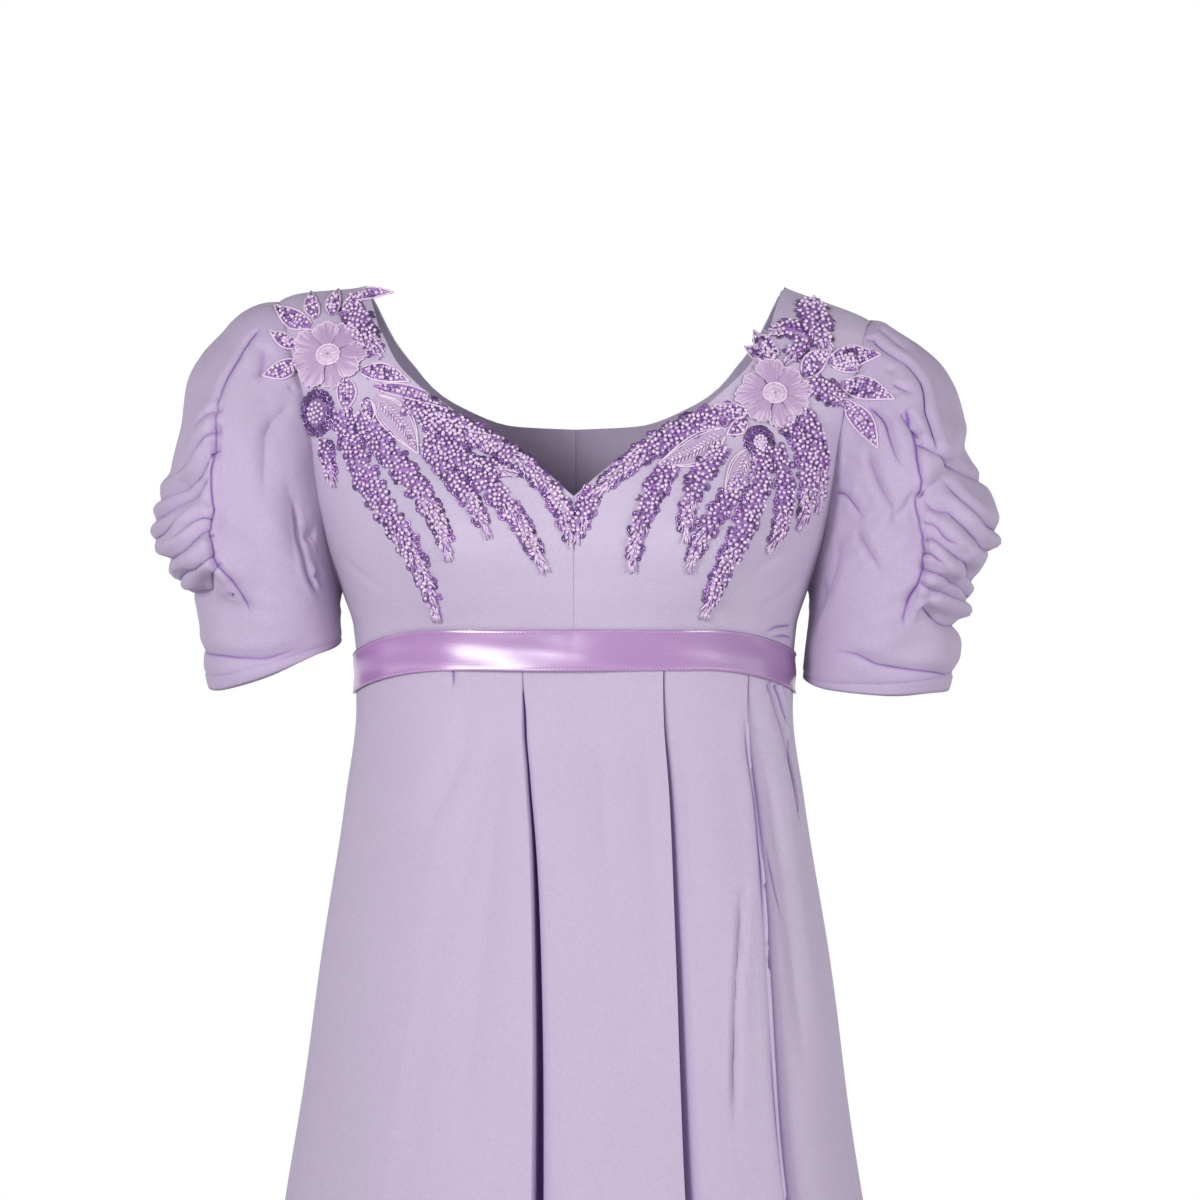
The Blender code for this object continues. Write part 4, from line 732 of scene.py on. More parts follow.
def grid_mesh(name, kind, u, v, surface, rows, side, closed=False, shaded=None):
    """Mesh of surface(u, v) over a grid, cut finer beside its creases, then creased.

    A closed grid joins round and has a hem folded up inside, where v is over 1. Shaded gives the
    painted shade in the surface's folds at each (u, v).
    """
    creases = [(row[0] / TENTHS, row[1] / TENTHS, *row[2:5], path_on(surface, row[5:]))
               for row in rows]
    count, columns = u.shape
    mesh = bmesh.new()
    layers = [mesh.verts.layers.float.new(key) for key in ("cosine", "sine", "rise")]
    corners = []
    for point, *kept in zip(surface(u, v).reshape(-1, 3), np.cos(u).flat, np.sin(u).flat, v.flat):
        corners.append(mesh.verts.new(point))
        for layer, value in zip(layers, kept):
            corners[-1][layer] = value
    for row in range(count - 1):
        for column in range(columns if closed else columns - 1):
            mesh.faces.new([corners[index] for index in cell(row, column, columns)])
    cut_finer(mesh, creases, FINE[kind])
    cosine, sine, height = (np.array([corner[layer] for corner in mesh.verts]) for layer in layers)
    angle = np.arctan2(sine, cosine)
    if not closed:               # an edge at the centre back keeps its own side's angle
        angle = np.where((u.max() > 3) & (angle < -1e-6 - math.pi / 2), angle + TURN, angle)
        angle = np.where((u.min() < -3) & (angle > math.pi / 2), angle - TURN, angle)
    bmesh.ops.triangulate(mesh, faces=[face for face in mesh.faces if len(face.verts) > 4])
    data = bpy.data.meshes.new(name)
    mesh.to_mesh(data)
    mesh.free()
    flat = surface(angle, height)
    set_points(data, flat)
    normals = mesh_normals(data)
    if ((flat - flat.mean(0)) * normals)[:, :2].sum() < 0:
        data.flip_normals()
        normals = -normals
    if closed:
        normals = np.where((height > 1.001)[:, None], -normals, normals)
    # The walls of a slit mustn't sway across it, so a surface with slits sways straight outward.
    sway = outward(angle) if shaded else normals
    flat = flat + ripple(flat, *UNEVEN[kind])[:, None] * sway
    pressed, inside = press(flat, normals, creases, side)
    set_points(data, pressed)
    # The painted shade of sharp creases and of slits goes on each point, for the crepe's colour.
    if shaded:
        inside = np.maximum(inside, shaded(angle, height))
    painted_fold_shade = data.attributes.new("painted_fold_shade", "FLOAT", "POINT")
    painted_fold_shade.data.foreach_set("value", inside.astype(np.float32))
    data.shade_smooth()
    return data


def points_of(data):
    """A mesh's points."""
    return np.array([corner.co for corner in data.vertices])


def set_points(data, points):
    """Move a mesh's points."""
    data.vertices.foreach_set("co", np.ascontiguousarray(points, np.float32).ravel())
    data.update()


def mesh_normals(data):
    """Normals of a mesh's points."""
    normals = np.zeros(3 * len(data.vertices), np.float32)
    data.vertex_normals.foreach_get("vector", normals)
    return normals.reshape(-1, 3).astype(float)


def add_object(name, data, material=None):
    """A new object in the scene."""
    item = bpy.data.objects.new(name, data)
    bpy.context.scene.collection.objects.link(item)
    if material:
        data.materials.append(material)
    return item


def shell(node, data, material, thickness=CLOTH):
    """A cloth piece in place of a solid, from its outer skin: thickness is added inward."""
    piece = add_object(node + "_cloth", data, material)
    if thickness:
        solid = piece.modifiers.new("thickness", "SOLIDIFY")
        solid.thickness, solid.offset = thickness, -1
        solid.use_rim = True
    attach(piece, "root")
    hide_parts(node)
    return piece


def patch(left, right, bottom, top, across, up):
    """Grid of (angle, height) filling four edge paths, each a function of 0 to 1."""
    u, v = across[None, :, None], up[:, None, None]
    low, high = bottom(np.array([0.0, 1.0])), top(np.array([0.0, 1.0]))
    blend = ((1 - u) * (1 - v) * low[0] + u * (1 - v) * low[1]
             + (1 - u) * v * high[0] + u * v * high[1])
    return ((1 - v) * bottom(across)[None] + v * top(across)[None]
            + (1 - u) * left(up)[:, None] + u * right(up)[:, None] - blend)


def bodice_grid(back, across, up):
    """Grid of (angle, height) for the left half of the bodice, front or back."""
    centre, side = math.radians(180 if back else 0), math.radians(90)
    neck = neckline(NECK_BACK if back else NECK_FRONT, back)
    hole = (ARMHOLE_BACK if back else ARMHOLE_FRONT)[::-1]

    def edge(angle, points, share):
        """From the waist straight up to a path's start, at a share of the way, and along it."""
        def path(t):
            low = waist(angle) + SEAM_GAP / 2
            t_up, t_on = np.clip(t / share, 0, 1), np.clip((t - share) / (1 - share), 0, 1)
            upright = np.stack([np.full_like(t, angle), low + (points[0][1] - low) * t_up], -1)
            return np.where((t <= share)[:, None], upright, along(points, t_on))
        return path

    def bottom(t):
        angle = centre + (side - centre) * t
        return np.stack([angle, waist(angle) + SEAM_GAP / 2], -1)

    return patch(edge(centre, neck, NECK_SHARE[back]), edge(side, hole, SIDE_SHARE), bottom,
                 lambda t: along(SHOULDER, t), across, up)


def make_bodice(name, back, material):
    """One of the four bodice panels."""
    side = side_of(name)
    turns, (across, up) = [0, SIDE_SHARE, NECK_SHARE[back], 1], BODICE_CELLS[back]
    up = np.unique(np.concatenate([np.linspace(low, high, round((high - low) * up) + 1)
                                   for low, high in zip(turns, turns[1:])]).round(9))
    grid = bodice_grid(back, np.linspace(0, 1, across), up)
    neck = NECK_BACK if back else NECK_FRONT
    rows = [(*SEAM_LINE, *((side * angle, height) for height in np.linspace(
        top, waist(math.radians(angle)), 9)))
        for angle, top in ((180 if back else 0, neck[0][1]), (90, ARMHOLE_FRONT[-1][1]))]
    rows.extend(() if back else BODICE_CREASES[name])
    node = "bodice_" + ("back_" if back else "front_") + name
    data = grid_mesh(node, "bodice", grid[..., 0] * side, grid[..., 1], body, rows, side)
    return shell(node, data, material)


def skirt_columns(first, last, down):
    """Angles of the skirt's columns at shares of the way down: crowded over the slits, even
    between."""
    inside = [row for row in PLEATS if first < row[1] < last]
    tops = [waist(math.radians(row[0])) - SEAM_GAP / 2 for row in inside]
    rows = []
    for share in down:
        levels = [np.array([top + (HEM - top) * share]) for top in tops]
        shapes = [[float(value[0]) for value in pleat(row, at)]
                  for row, at in zip(inside, levels)]
        centres = [first, *(shape[0] for shape in shapes), last]
        angles = [float(first)]
        for row, at, (centre, _, width, slit), low, high in zip(inside, levels, shapes, centres,
                                                                centres[2:]):
            reach = float(np.linalg.norm(body(np.radians([centre]), at)[0, :2]))
            width, slit = math.degrees(width / reach), math.degrees(slit / reach)
            marks = np.sort(-row[-1] * slit * SLIT_MARKS)
            limit_low = max(min(3 * width, 0.46 * (centre - low)), -marks[0] * 1.2)
            limit_high = max(min(3 * width, 0.46 * (high - centre)), marks[-1] * 1.2)
            marks = np.concatenate([(marks[0] - (limit_low + marks[0]) * OUTER_MARKS)[::-1], marks,
                                    marks[-1] + (limit_high - marks[-1]) * OUTER_MARKS])
            angles.extend(np.linspace(angles[-1], centre + marks[0], 7)[1:-1])
            angles.extend(centre + marks)
        angles.extend(np.linspace(angles[-1], last, 7)[1:])
        rows.append(angles)
    return np.radians(np.array(rows))


def make_skirt(name, first, last, material):
    """One skirt panel between two angles in degrees."""
    down = np.unique(np.concatenate([np.linspace(*part) for part in SKIRT_ROWS]))
    angle = skirt_columns(first, last, down)
    top = waist(angle) - SEAM_GAP / 2
    data = grid_mesh(name, "skirt", angle, top + (HEM - top) * down[:, None], skirt,
                     SKIRT_CREASES[name], 1, shaded=lambda u, v: skirt_parts(u, v)[1])
    points = points_of(data)
    points[:, 2] = np.maximum(points[:, 2], HEM)
    set_points(data, points)
    return shell(name, data, material)


def make_sleeve(name, material):
    """One puff sleeve with its slash seam, gathers, tuck and turned-up hem."""
    around, down = SLEEVE_CELLS
    drop = np.concatenate(((-2 * UNDER, -UNDER), np.linspace(0, 1, down),
                           1 + HEM_FOLD * FOLD_MARKS))
    u, v = np.meshgrid(np.radians(np.linspace(-180, 180, around + 1)[:-1]), drop)
    rows = (*SLEEVE_CREASES[name], *BACK_CREASES, TUCKS[name], (*SLASH_LINE, *SEAM_PATHS[name]),
            HEM_LINE)
    data = grid_mesh("sleeve_" + name, "sleeve", u, v,
                     lambda turn, at: sleeve(name, np.degrees(turn), at), rows, side_of(name),
                     closed=True)
    return shell("sleeve_" + name, data, material, 0)


# ---- materials ----

LILAC, LILAC_SHADE = (0.485, 0.398, 0.558), (0.415, 0.325, 0.500)
# Painted light: a copy of the crepe's colours about a tenth lighter, for the front bodice.
LIT_BODICE_LILAC, LIT_BODICE_LILAC_DARKER = (0.532, 0.438, 0.607), (0.458, 0.360, 0.548)
# Painted shade: a copy of the crepe's colours a little darker and deeper, for the sleeves.
SHADED_SLEEVE_LILAC, SHADED_SLEEVE_LILAC_DARKER = (0.468, 0.362, 0.548), (0.392, 0.290, 0.478)
# Painted shade for creases and slits, and the pale colour of painted glints.
PAINTED_FOLD_SHADE, CREPE_GLINT = (0.200, 0.052, 0.400), (0.95, 0.92, 1.0)
ORCHID, ORCHID_SHADE, ORCHID_RIB = (0.238, 0.104, 0.284), (0.30, 0.145, 0.345), (0.50, 0.34, 0.57)
PEARL, LILAC_GLASS, DEEP_GLASS = (0.77, 0.60, 0.81), (0.66, 0.45, 0.76), (0.30, 0.12, 0.46)
VIOLET, DARK_VIOLET, STUD_GROUND = (0.30, 0.115, 0.45), (0.095, 0.026, 0.215), (0.14, 0.05, 0.26)
PETAL, PETAL_EDGE = (0.47, 0.31, 0.50), (0.72, 0.56, 0.72)
THREAD, CORD, STITCH_TINT = (0.78, 0.60, 0.80), (0.84, 0.68, 0.84), (0.60, 0.50, 0.68)
GROUND_THREAD, GROUND_KNOT = (0.74, 0.58, 0.80), (0.30, 0.12, 0.44)
BUGLE_DEEP = (0.58, 0.38, 0.70)


class Nodes:
    """A short way to build a material's node tree."""

    def __init__(self, name, colour, roughness, **constants):
        self.material = bpy.data.materials.new(name)
        self.material.use_nodes = True
        self.tree = self.material.node_tree
        self.shader = self.tree.nodes["Principled BSDF"]
        self.shader.inputs["Base Color"].default_value = (*colour, 1)
        self.shader.inputs["Roughness"].default_value = roughness
        for key, value in constants.items():
            socket = self.shader.inputs[key.replace("_", " ")]
            socket.default_value = (*value, 1) if isinstance(value, tuple) else value
        self.place = self.add("ShaderNodeTexCoord").outputs["Object"]

    def add(self, kind, settings=(), **inputs):
        """A node with some of its settings, and of its inputs by value or by link."""
        node = self.tree.nodes.new(kind)
        for key, value in settings:
            setattr(node, key, value)
        for key, value in inputs.items():
            self.give(node, key, value)
        return node

    def give(self, node, key, value):
        """Set one input of a node, by name or number."""
        socket = node.inputs[key]
        if isinstance(value, bpy.types.NodeSocket):
            self.tree.links.new(value, socket)
        else:
            socket.default_value = (*value, 1) if isinstance(value, tuple) else value

    def noise(self, scale, detail=2.0, roughness=0.5, stretch=None):
        """A noise between 0 and 1 over the object, whose axes can be scaled apart."""
        place = self.place
        if stretch:
            mapping = self.add("ShaderNodeMapping", Vector=place)
            mapping.inputs["Scale"].default_value = stretch
            place = mapping.outputs["Vector"]
        return self.add("ShaderNodeTexNoise", Vector=place, Scale=scale, Detail=detail,
                        Roughness=roughness).outputs["Fac"]

    def math(self, kind, first, second):
        """Arithmetic on two values."""
        node = self.add("ShaderNodeMath", [("operation", kind)])
        self.give(node, 0, first)
        self.give(node, 1, second)
        return node.outputs[0]

    def mix(self, share, first, second):
        """Mix of two colours."""
        return self.add("ShaderNodeMixRGB", Fac=share, Color1=first,
                        Color2=second).outputs["Color"]

    def lay(self, tone, layers):
        """A colour with others over it, as (where it lies, how strong it is there, colour)."""
        for where, most, colour in layers:
            tone = self.mix(self.math("MULTIPLY", where, most), tone, colour)
        return tone

    def bumps(self, *layers):
        """Bumps over each other, from the lowest, as (height, strength, distance)."""
        normal = {}
        for height, strength, distance in layers:
            node = self.add("ShaderNodeBump", Height=height, Strength=strength,
                            Distance=distance, **normal)
            normal = {"Normal": node.outputs["Normal"]}
        return normal["Normal"]

    def tint(self):
        """The colour that each point carries."""
        return self.add("ShaderNodeVertexColor", [("layer_name", "tint")]).outputs["Color"]

    def finish(self, colour, normal=None, roughness=None):
        """Link what varies over the surface to the shader."""
        for key, value in (("Base Color", colour), ("Normal", normal), ("Roughness", roughness)):
            if value is not None:
                self.give(self.shader, key, value)
        return self.material


def crepe(name, colour, shade, glint):
    """Crepe: a pebbled grain over close crosswise threads, with uneven dye, some glint, pale
    flecks of painted glint, and painted shade, a deeper colour laid into its creases and slits."""
    nodes = Nodes(name, colour, 0.62, Specular_IOR_Level=0.35 + glint, Sheen_Weight=0.22,
                  Sheen_Roughness=0.45, Sheen_Tint=(0.93, 0.88, 1.0))
    grain = nodes.noise(1500, 3.0, 0.65)
    threads = nodes.noise(1.0, stretch=(260, 260, 2400))
    cloud, fleck = nodes.noise(14, 3.0), nodes.noise(620, 3.0, 0.6)
    painted_fold_shade = nodes.add("ShaderNodeAttribute", [("attribute_name", "painted_fold_shade")]).outputs["Fac"]
    # Pale flecks are painted glints. Where the fold weight is high, the colour is painted shade.
    tone = nodes.lay(colour, ((cloud, 0.5, shade), (fleck, 0.26, CREPE_GLINT),
                              (threads, 0.20, shade), (painted_fold_shade, 0.88, PAINTED_FOLD_SHADE)))
    normal = nodes.bumps((threads, 0.25, 0.0004), (fleck, 0.30, 0.0005),
                         (grain, 0.40 + 1.5 * glint, 0.0004))
    rough = nodes.math("ADD", 0.48 - 0.5 * glint, nodes.math("MULTIPLY", grain, 0.30))
    return nodes.finish(tone, normal, rough)


def satin():
    """Satin ribbon: close lengthwise floats that stretch its highlights across it."""
    nodes = Nodes("orchid_satin", ORCHID, 0.27, IOR=2.0, Anisotropic=0.70,
                  Anisotropic_Rotation=0.25, Specular_IOR_Level=0.80,
                  Sheen_Weight=0.10, Sheen_Tint=(0.95, 0.85, 1.0))
    ribs = nodes.noise(1.0, stretch=(60, 60, 3200))
    tone = nodes.lay(ORCHID, ((nodes.noise(22), 0.45, ORCHID_SHADE), (ribs, 0.16, ORCHID_RIB)))
    tangent = nodes.add("ShaderNodeTangent", [("direction_type", "UV_MAP"), ("uv_map", "round")])
    nodes.give(nodes.shader, "Tangent", tangent.outputs[0])
    return nodes.finish(tone, nodes.bumps((ribs, 0.20, 0.0003)))


def beadwork(name, roughness, coat, grain, **constants):
    """Beads, sequins or thread, in the colour that each of their points carries."""
    nodes = Nodes(name, PEARL, roughness, Coat_Weight=coat, Coat_Roughness=0.12, **constants)
    wear = nodes.noise(grain)
    return nodes.finish(nodes.lay(nodes.tint(), ((wear, 0.22, PEARL),)),
                        nodes.bumps((wear, 0.12, 0.0002)))


def embroidery():
    """Satin-stitched ground, in the colour that its points carry, with fine lying threads."""
    nodes = Nodes("stitched_ground", VIOLET, 0.5, Sheen_Weight=0.3, Sheen_Roughness=0.4,
                  Specular_IOR_Level=0.5)
    threads = nodes.noise(1.0, roughness=0.6, stretch=(1900, 600, 900))
    knots = nodes.noise(700, 3.0)
    tone = nodes.lay(nodes.tint(), ((threads, 0.45, GROUND_THREAD), (knots, 0.25, GROUND_KNOT)))
    return nodes.finish(tone, nodes.bumps((knots, 0.4, 0.0005), (threads, 0.5, 0.0005)))


# ---- many small things ----


def circle(count):
    """Angles of points evenly round a circle, from 0."""
    return np.linspace(0, TURN, count + 1)[:-1]


def way(turn):
    """Step at an angle on the front view, from the wearer's left upward."""
    return np.array([math.cos(turn), math.sin(turn)])


def sequin():
    """Template of a cupped sequin with its hole, radius 1, lying in its own plane."""
    rings = ((0.20, -0.20), (0.55, -0.16), (1.0, 0.12))
    count = 8
    points = [(math.cos(turn) * radius, math.sin(turn) * radius, lift - under)
              for under in (0, 0.10) for radius, lift in rings for turn in circle(count)]
    outer, under = 2 * count, 3 * count
    faces = []
    for column in range(count):
        after = (column + 1) % count
        for layer, order in ((0, 1), (under, -1)):
            for ring in (layer, layer + count):
                loop = [ring + column, ring + count + column, ring + count + after, ring + after]
                faces.append(loop[::order])
        faces.append([column, after, under + after, under + column])
        faces.append([outer + after, outer + column, under + outer + column,
                      under + outer + after])
    return np.array(points), faces


def template(build, **shape):
    """Points and faces of a small mesh that a bmesh operator builds."""
    mesh = bmesh.new()
    build(mesh, **shape)
    mesh.verts.index_update()
    points = np.array([corner.co for corner in mesh.verts])
    faces = [[corner.index for corner in face.verts] for face in mesh.faces]
    mesh.free()
    return points, faces


# A seed bead of radius 1, a sequin, and a bugle bead along +Z with half length and radius 1.
BALL = template(bmesh.ops.create_uvsphere, u_segments=6, v_segments=5, radius=1)
SEQUIN = sequin()
BUGLE = template(bmesh.ops.create_cone, cap_ends=True, segments=6, radius1=1, radius2=1, depth=2)


class Heap:
    """Copies of templates and loose grids that end as one joined mesh with a tint."""

    def __init__(self):
        self.points, self.faces, self.tints, self.count = [], [], [], 0

    def add(self, points, faces, tint):
        """Add points and faces, with one tint or a tint for each point."""
        tint = np.reshape(tint, (-1, 3))
        tint = np.concatenate([tint, np.ones((len(tint), 1))], -1)
        self.points.append(points)
        self.faces.extend([self.count + index for index in face] for face in faces)
        self.tints.append(np.broadcast_to(tint, (len(points), 4)))
        self.count += len(points)

    def copy(self, shape, spot, axes, tint):
        """Add a template at a spot, with its own axes as the rows of a 3 by 3 array."""
        points, faces = shape
        self.add(points @ np.array(axes) + spot, faces, tint)

    def grid(self, points, tint, closed=False):
        """Add a grid of points, rows by columns; closed joins the columns round."""
        rows, columns = points.shape[:2]
        faces = [cell(row, column, columns) for row in range(rows - 1)
                 for column in range(columns if closed else columns - 1)]
        self.add(points.reshape(-1, 3), faces, tint)

    def tube(self, path, radius, tint, sides=5, outs=(0.0, -1.0, 0.0)):
        """Add a thread along a path."""
        path = np.asarray(path)
        run = unit(np.gradient(path, axis=0))
        across = unit(np.cross(run, np.broadcast_to(outs, path.shape)))
        rise = np.cross(across, run)
        turns = circle(sides)[None, :, None]
        ring = np.cos(turns) * across[:, None] + np.sin(turns) * rise[:, None]
        taper = np.ones(len(path))
        taper[[0, -1]] = 0.25
        self.grid(path[:, None] + ring * (radius * taper)[:, None, None], tint, closed=True)

    def mesh(self, name):
        """The joined mesh."""
        data = bpy.data.meshes.new(name)
        data.from_pydata(np.concatenate(self.points), [], self.faces)
        data.shade_smooth()
        return data

    def piece(self, name, material):
        """The joined mesh as a piece of the gown."""
        data = self.mesh(name)
        colours = data.color_attributes.new("tint", "FLOAT_COLOR", "POINT")
        colours.data.foreach_set("color", np.concatenate(self.tints).astype(np.float32).ravel())
        piece = add_object(name, data, material)
        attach(piece, "root")
        return piece


def tree_of(*pieces):
    """Search tree of some pieces' faces."""
    points, faces = [], []
    for piece in pieces:
        first = len(points)
        points.extend(corner.co.copy() for corner in piece.data.vertices)
        faces.extend([first + index for index in face.vertices] for face in piece.data.polygons)
    return BVHTree.FromPolygons(points, faces)


def direction(angle):
    """Unit step on the front view for an angle from straight down."""
    return np.array([math.sin(math.radians(angle)), -math.cos(math.radians(angle))])


def jitter(size):
    """A random step up to a size either way."""
    return draw.uniform(-size, size)


def tinted(colour, spread=0.10):
    """A colour a little lighter or darker than asked."""
    return np.clip(np.array(colour) * (1 + jitter(spread)), 0, 1)


def pearl_tint():
    """Colour of one seed bead: mostly pearl, some lilac glass and a few deeper ones."""
    pick = draw.random()
    return tinted(PEARL if pick < 0.76 else LILAC_GLASS if pick < 0.93 else DEEP_GLASS)


def sequin_tint(dark):
    """Colour of one sequin; dark is the share that are dark."""
    return tinted(DARK_VIOLET if draw.random() < dark else VIOLET, 0.25)


def frame_axes(run, out):
    """Axes along a run, across it and out of the cloth."""
    across = unit(np.cross(out, run))
    return unit(np.cross(across, out)), across, out


AHEAD, FRONT_LIMIT, SMOOTHED = -0.4, 0.015, 0.0025    # where casts start, end, and step aside
SEED, SEED_ROOM = 0.00134, 1.72  # radius of a seed bead; least distance between two, in radii
SEED_TRIES = 2.2                 # places tried for seed beads, for the room that there is
SEQUIN_SIZE = 0.00215            # radius of a sequin
# Painted shading of a sequin, ring by ring: shade round its hole, a highlight between, shade at
# its rim.
SEQUIN_PAINTED_SHADING = np.tile(np.repeat((0.55, 1.15, 0.75), len(SEQUIN[0]) // 6), 2)[:, None]
BUGLE_SIZE = 0.00050             # radius of a bugle bead
GROUND_RISE = 0.0008             # height of a spray's stitched ground
CLUMP = 0.012                    # length of one clump of beads along a spray
SPRAY_STEP, LEAF_STEP = 0.0021, 0.0022    # between the rows of their grounds
EDGE_ROOM, MIDDLE_ROOM = 0.0031, 0.0052    # between a spray's sequins
EDGE_LIFT, MIDDLE_LIFT = 0.0012, 0.0016    # and how high they lie
SEED_LIFT, SEED_HEAP = 0.0018, 0.0010    # of its seed beads at its edge, and more in its middle
BUGLE_ROOM = 0.00105             # between its bugles, which start this share before it is bare
BUGLE_START, BUGLE_LENGTH, BUGLE_LIFT = 0.28, 0.0046, 0.0016
SHORT_SPRAY, BARE = 0.030, (0.86, 0.78)    # seed beads end here on long sprays, and on short
LARGE_LEAF = 0.0145              # a leaf wider than this is stitched with bugles
LEAF_ROOM, LEAF_BEAD = 0.0024, 0.0022    # between a leaf's rows of beads, and between the beads
LEAF_BEND = 0.06                 # of its length
PETALS, STRANDS, FLOWER_STITCHES = 8, 28, 26
FRILL = 0.0002                   # how far a petal's edge stands out from it
# The rings of a cluster of pearls: share of its size, number and, of the sequins, height.
STUD_SEQUINS = ((0.95, 22, 0.0012), (0.74, 17, 0.0019))
STUD_PEARLS = ((0.0, 1), (0.22, 6), (0.44, 11))


class Motif:
    """The embroidered and beaded motif of one shoulder, laid on the front of its cloth at x and
    height as seen from the front."""

    def __init__(self, *pieces):
        self.tree = tree_of(*pieces)
        self.ground, self.beads, self.sequins, self.threads = (Heap() for _ in range(4))

    def cast(self, x, height):
        """Point and normal of the first cloth straight ahead, or level with its edge."""
        spot, out, _, _ = self.tree.ray_cast(Vector((x, AHEAD, height)), Vector((0, 1, 0)))
        if spot is None or spot.y > FRONT_LIMIT:
            edge, out, _, _ = self.tree.find_nearest(Vector((x, -FRONT_LIMIT, height)))
            spot = Vector((x, edge.y, height))
        return np.array(spot), np.array(out)

    def lay(self, x, height, lift=0.0):
        """Point above the cloth and a smoothed normal there."""
        spot, _ = self.cast(x, height)
        outs = [self.cast(x + dx * SMOOTHED, height + dz * SMOOTHED)[1]
                for dx, dz in ((0, 0), (1, 0), (-1, 0), (0, 1), (0, -1))]
        out = unit(np.sum([o * (1 if o[1] < 0.3 else -1) for o in outs], axis=0))
        return spot + lift * out, out

    def path(self, flat, lift=0.0):
        """A flat path laid on the cloth: its points and their normals."""
        return (np.array(both) for both in zip(*(self.lay(*spot, lift) for spot in flat)))

    def seed(self, flat, lift, tint):
        """One seed bead on the cloth."""
        spot, out = self.lay(*flat)
        run, across, out = frame_axes(unit(draw.normal(0, 1, 3)), out)
        size = SEED * (1 + jitter(0.16))
        self.beads.copy(BALL, spot + (lift + jitter(0.0002)) * out,
                        size * np.array([run, 0.88 * across, 0.92 * out]), tint)

    def sequin(self, flat, lift, lean, tint):
        """One sequin, leaning by an angle towards a direction on the front view, with painted
        shade round its hole and at its rim and a painted highlight between them."""
        spot, out = self.lay(*flat)
        tilt = unit(out + np.array([lean[0], 0, lean[1]]) * 0.40 + draw.normal(0, 0.16, 3))
        axes = frame_axes(np.array([0.0, 0.0, 1.0]) + 0.01, tilt)
        size = SEQUIN_SIZE * (1 + jitter(0.12))
        self.sequins.copy(SEQUIN, spot + lift * tilt, size * np.array(axes),
                          np.clip(SEQUIN_PAINTED_SHADING * tint, 0, 1))

    def bugle(self, flat, angle, length, lift, tint):
        """One bugle bead lying on the cloth from a flat point, at an angle from straight down."""
        first, out = self.lay(*flat)
        last, _ = self.lay(*(flat + direction(angle) * length))
        run, across, out = frame_axes(unit(last - first), out)
        self.beads.copy(BUGLE, (first + last) / 2 + lift * out,
                        (BUGLE_SIZE * across, BUGLE_SIZE * out, length / 2 * run), tint)

    def thread(self, flat, lift, radius, tint, sides=5):
        """A thread laid on the cloth along a flat path."""
        laid, outs = self.path(flat, lift)
        self.threads.tube(laid, radius, tint, sides, outs)

    def strip(self, spine, half, rise, tint, across=6):
        """Rounded strip of stitched ground along a flat spine."""
        run = unit(np.gradient(spine, axis=0))
        side = np.stack([-run[:, 1], run[:, 0]], -1)
        rows = []
        for place in np.linspace(-1, 1, across + 1):
            row, outs = self.path(spine + side * (half * place)[:, None])
            rows.append(row + (0.00025 + rise * math.sqrt(1 - 0.96 * place * place)) * outs)
        self.ground.grid(np.array(rows), tint)

    def spray(self, x, height, length, start, middle, end, width):
        """A spray: seed beads heaped in clumps over a purple ground, sequins along its edges, and
        bugle beads that fan out towards its tip."""
        count = max(8, round(length / SPRAY_STEP))
        shares = np.linspace(0, 1, count + 1)
        angles = cubic([0, 0.5, 1], [start, middle, end], shares)
        spine = [np.array([x, height])]
        for before, after in zip(angles, angles[1:]):
            spine.append(spine[-1] + direction((before + after) / 2) * length / count)
        spine, sides = np.array(spine), np.radians(angles)
        sides = np.stack([np.cos(sides), np.sin(sides)], -1)
        clumps = 1 + 0.15 * np.sin(TURN * (shares * length / CLUMP + draw.random()))
        half = width / 2 * (0.66 + 0.36 * np.sin(math.pi * shares ** 0.8)) * (
            1 - 0.40 * shares ** 2) * clumps
        self.strip(spine[:-1], half[:-1] * 0.86, GROUND_RISE, VIOLET)
        bare = BARE[length <= SHORT_SPRAY]

        def at(share, place):
            spot, side = (np.array([np.interp(share, shares, line[:, axis]) for axis in (0, 1)])
                          for line in (spine, sides))
            return spot + side * place * np.interp(share, shares, half)

        for edge in (-1, 1):
            share = draw.random() * 0.02
            while share < bare + 0.06:
                hand = sides[round(share * count)] * edge
                if draw.random() < 0.84:
                    self.sequin(at(share, edge * (1.0 + jitter(0.14))), EDGE_LIFT, hand,
                                sequin_tint(0.16 + 0.25 * share))
                share += (EDGE_ROOM + jitter(0.0007)) / length
        for share in np.arange(0.03, bare, MIDDLE_ROOM / length):
            self.sequin(at(share, jitter(0.5)), MIDDLE_LIFT, sides[0] * jitter(1),
                        sequin_tint(0.10))
        placed = np.zeros((0, 2))
        for _ in range(int(SEED_TRIES * length * width / SEED ** 2)):
            share, place = draw.random() * (bare + 0.03), jitter(0.96)
            spot = at(share, place)
            if len(placed) and np.linalg.norm(placed - spot, axis=1).min() < SEED_ROOM * SEED:
                continue
            placed = np.vstack([placed, spot])
            self.seed(spot, SEED_LIFT + SEED_HEAP * (1 - place ** 2), pearl_tint())
        for share in np.arange(bare - BUGLE_START, 1.0, BUGLE_ROOM / length):
            for hand in (-1, 1):
                turn = np.interp(share, shares, angles) + hand * (30 - 22 * share) + jitter(13)
                begin = at(min(share, 0.97), hand * (0.30 + jitter(0.45)))
                self.bugle(begin, turn, BUGLE_LENGTH + jitter(0.0007),
                           BUGLE_LIFT + jitter(0.0005),
                           tinted(PEARL if draw.random() < 0.72 else BUGLE_DEEP))

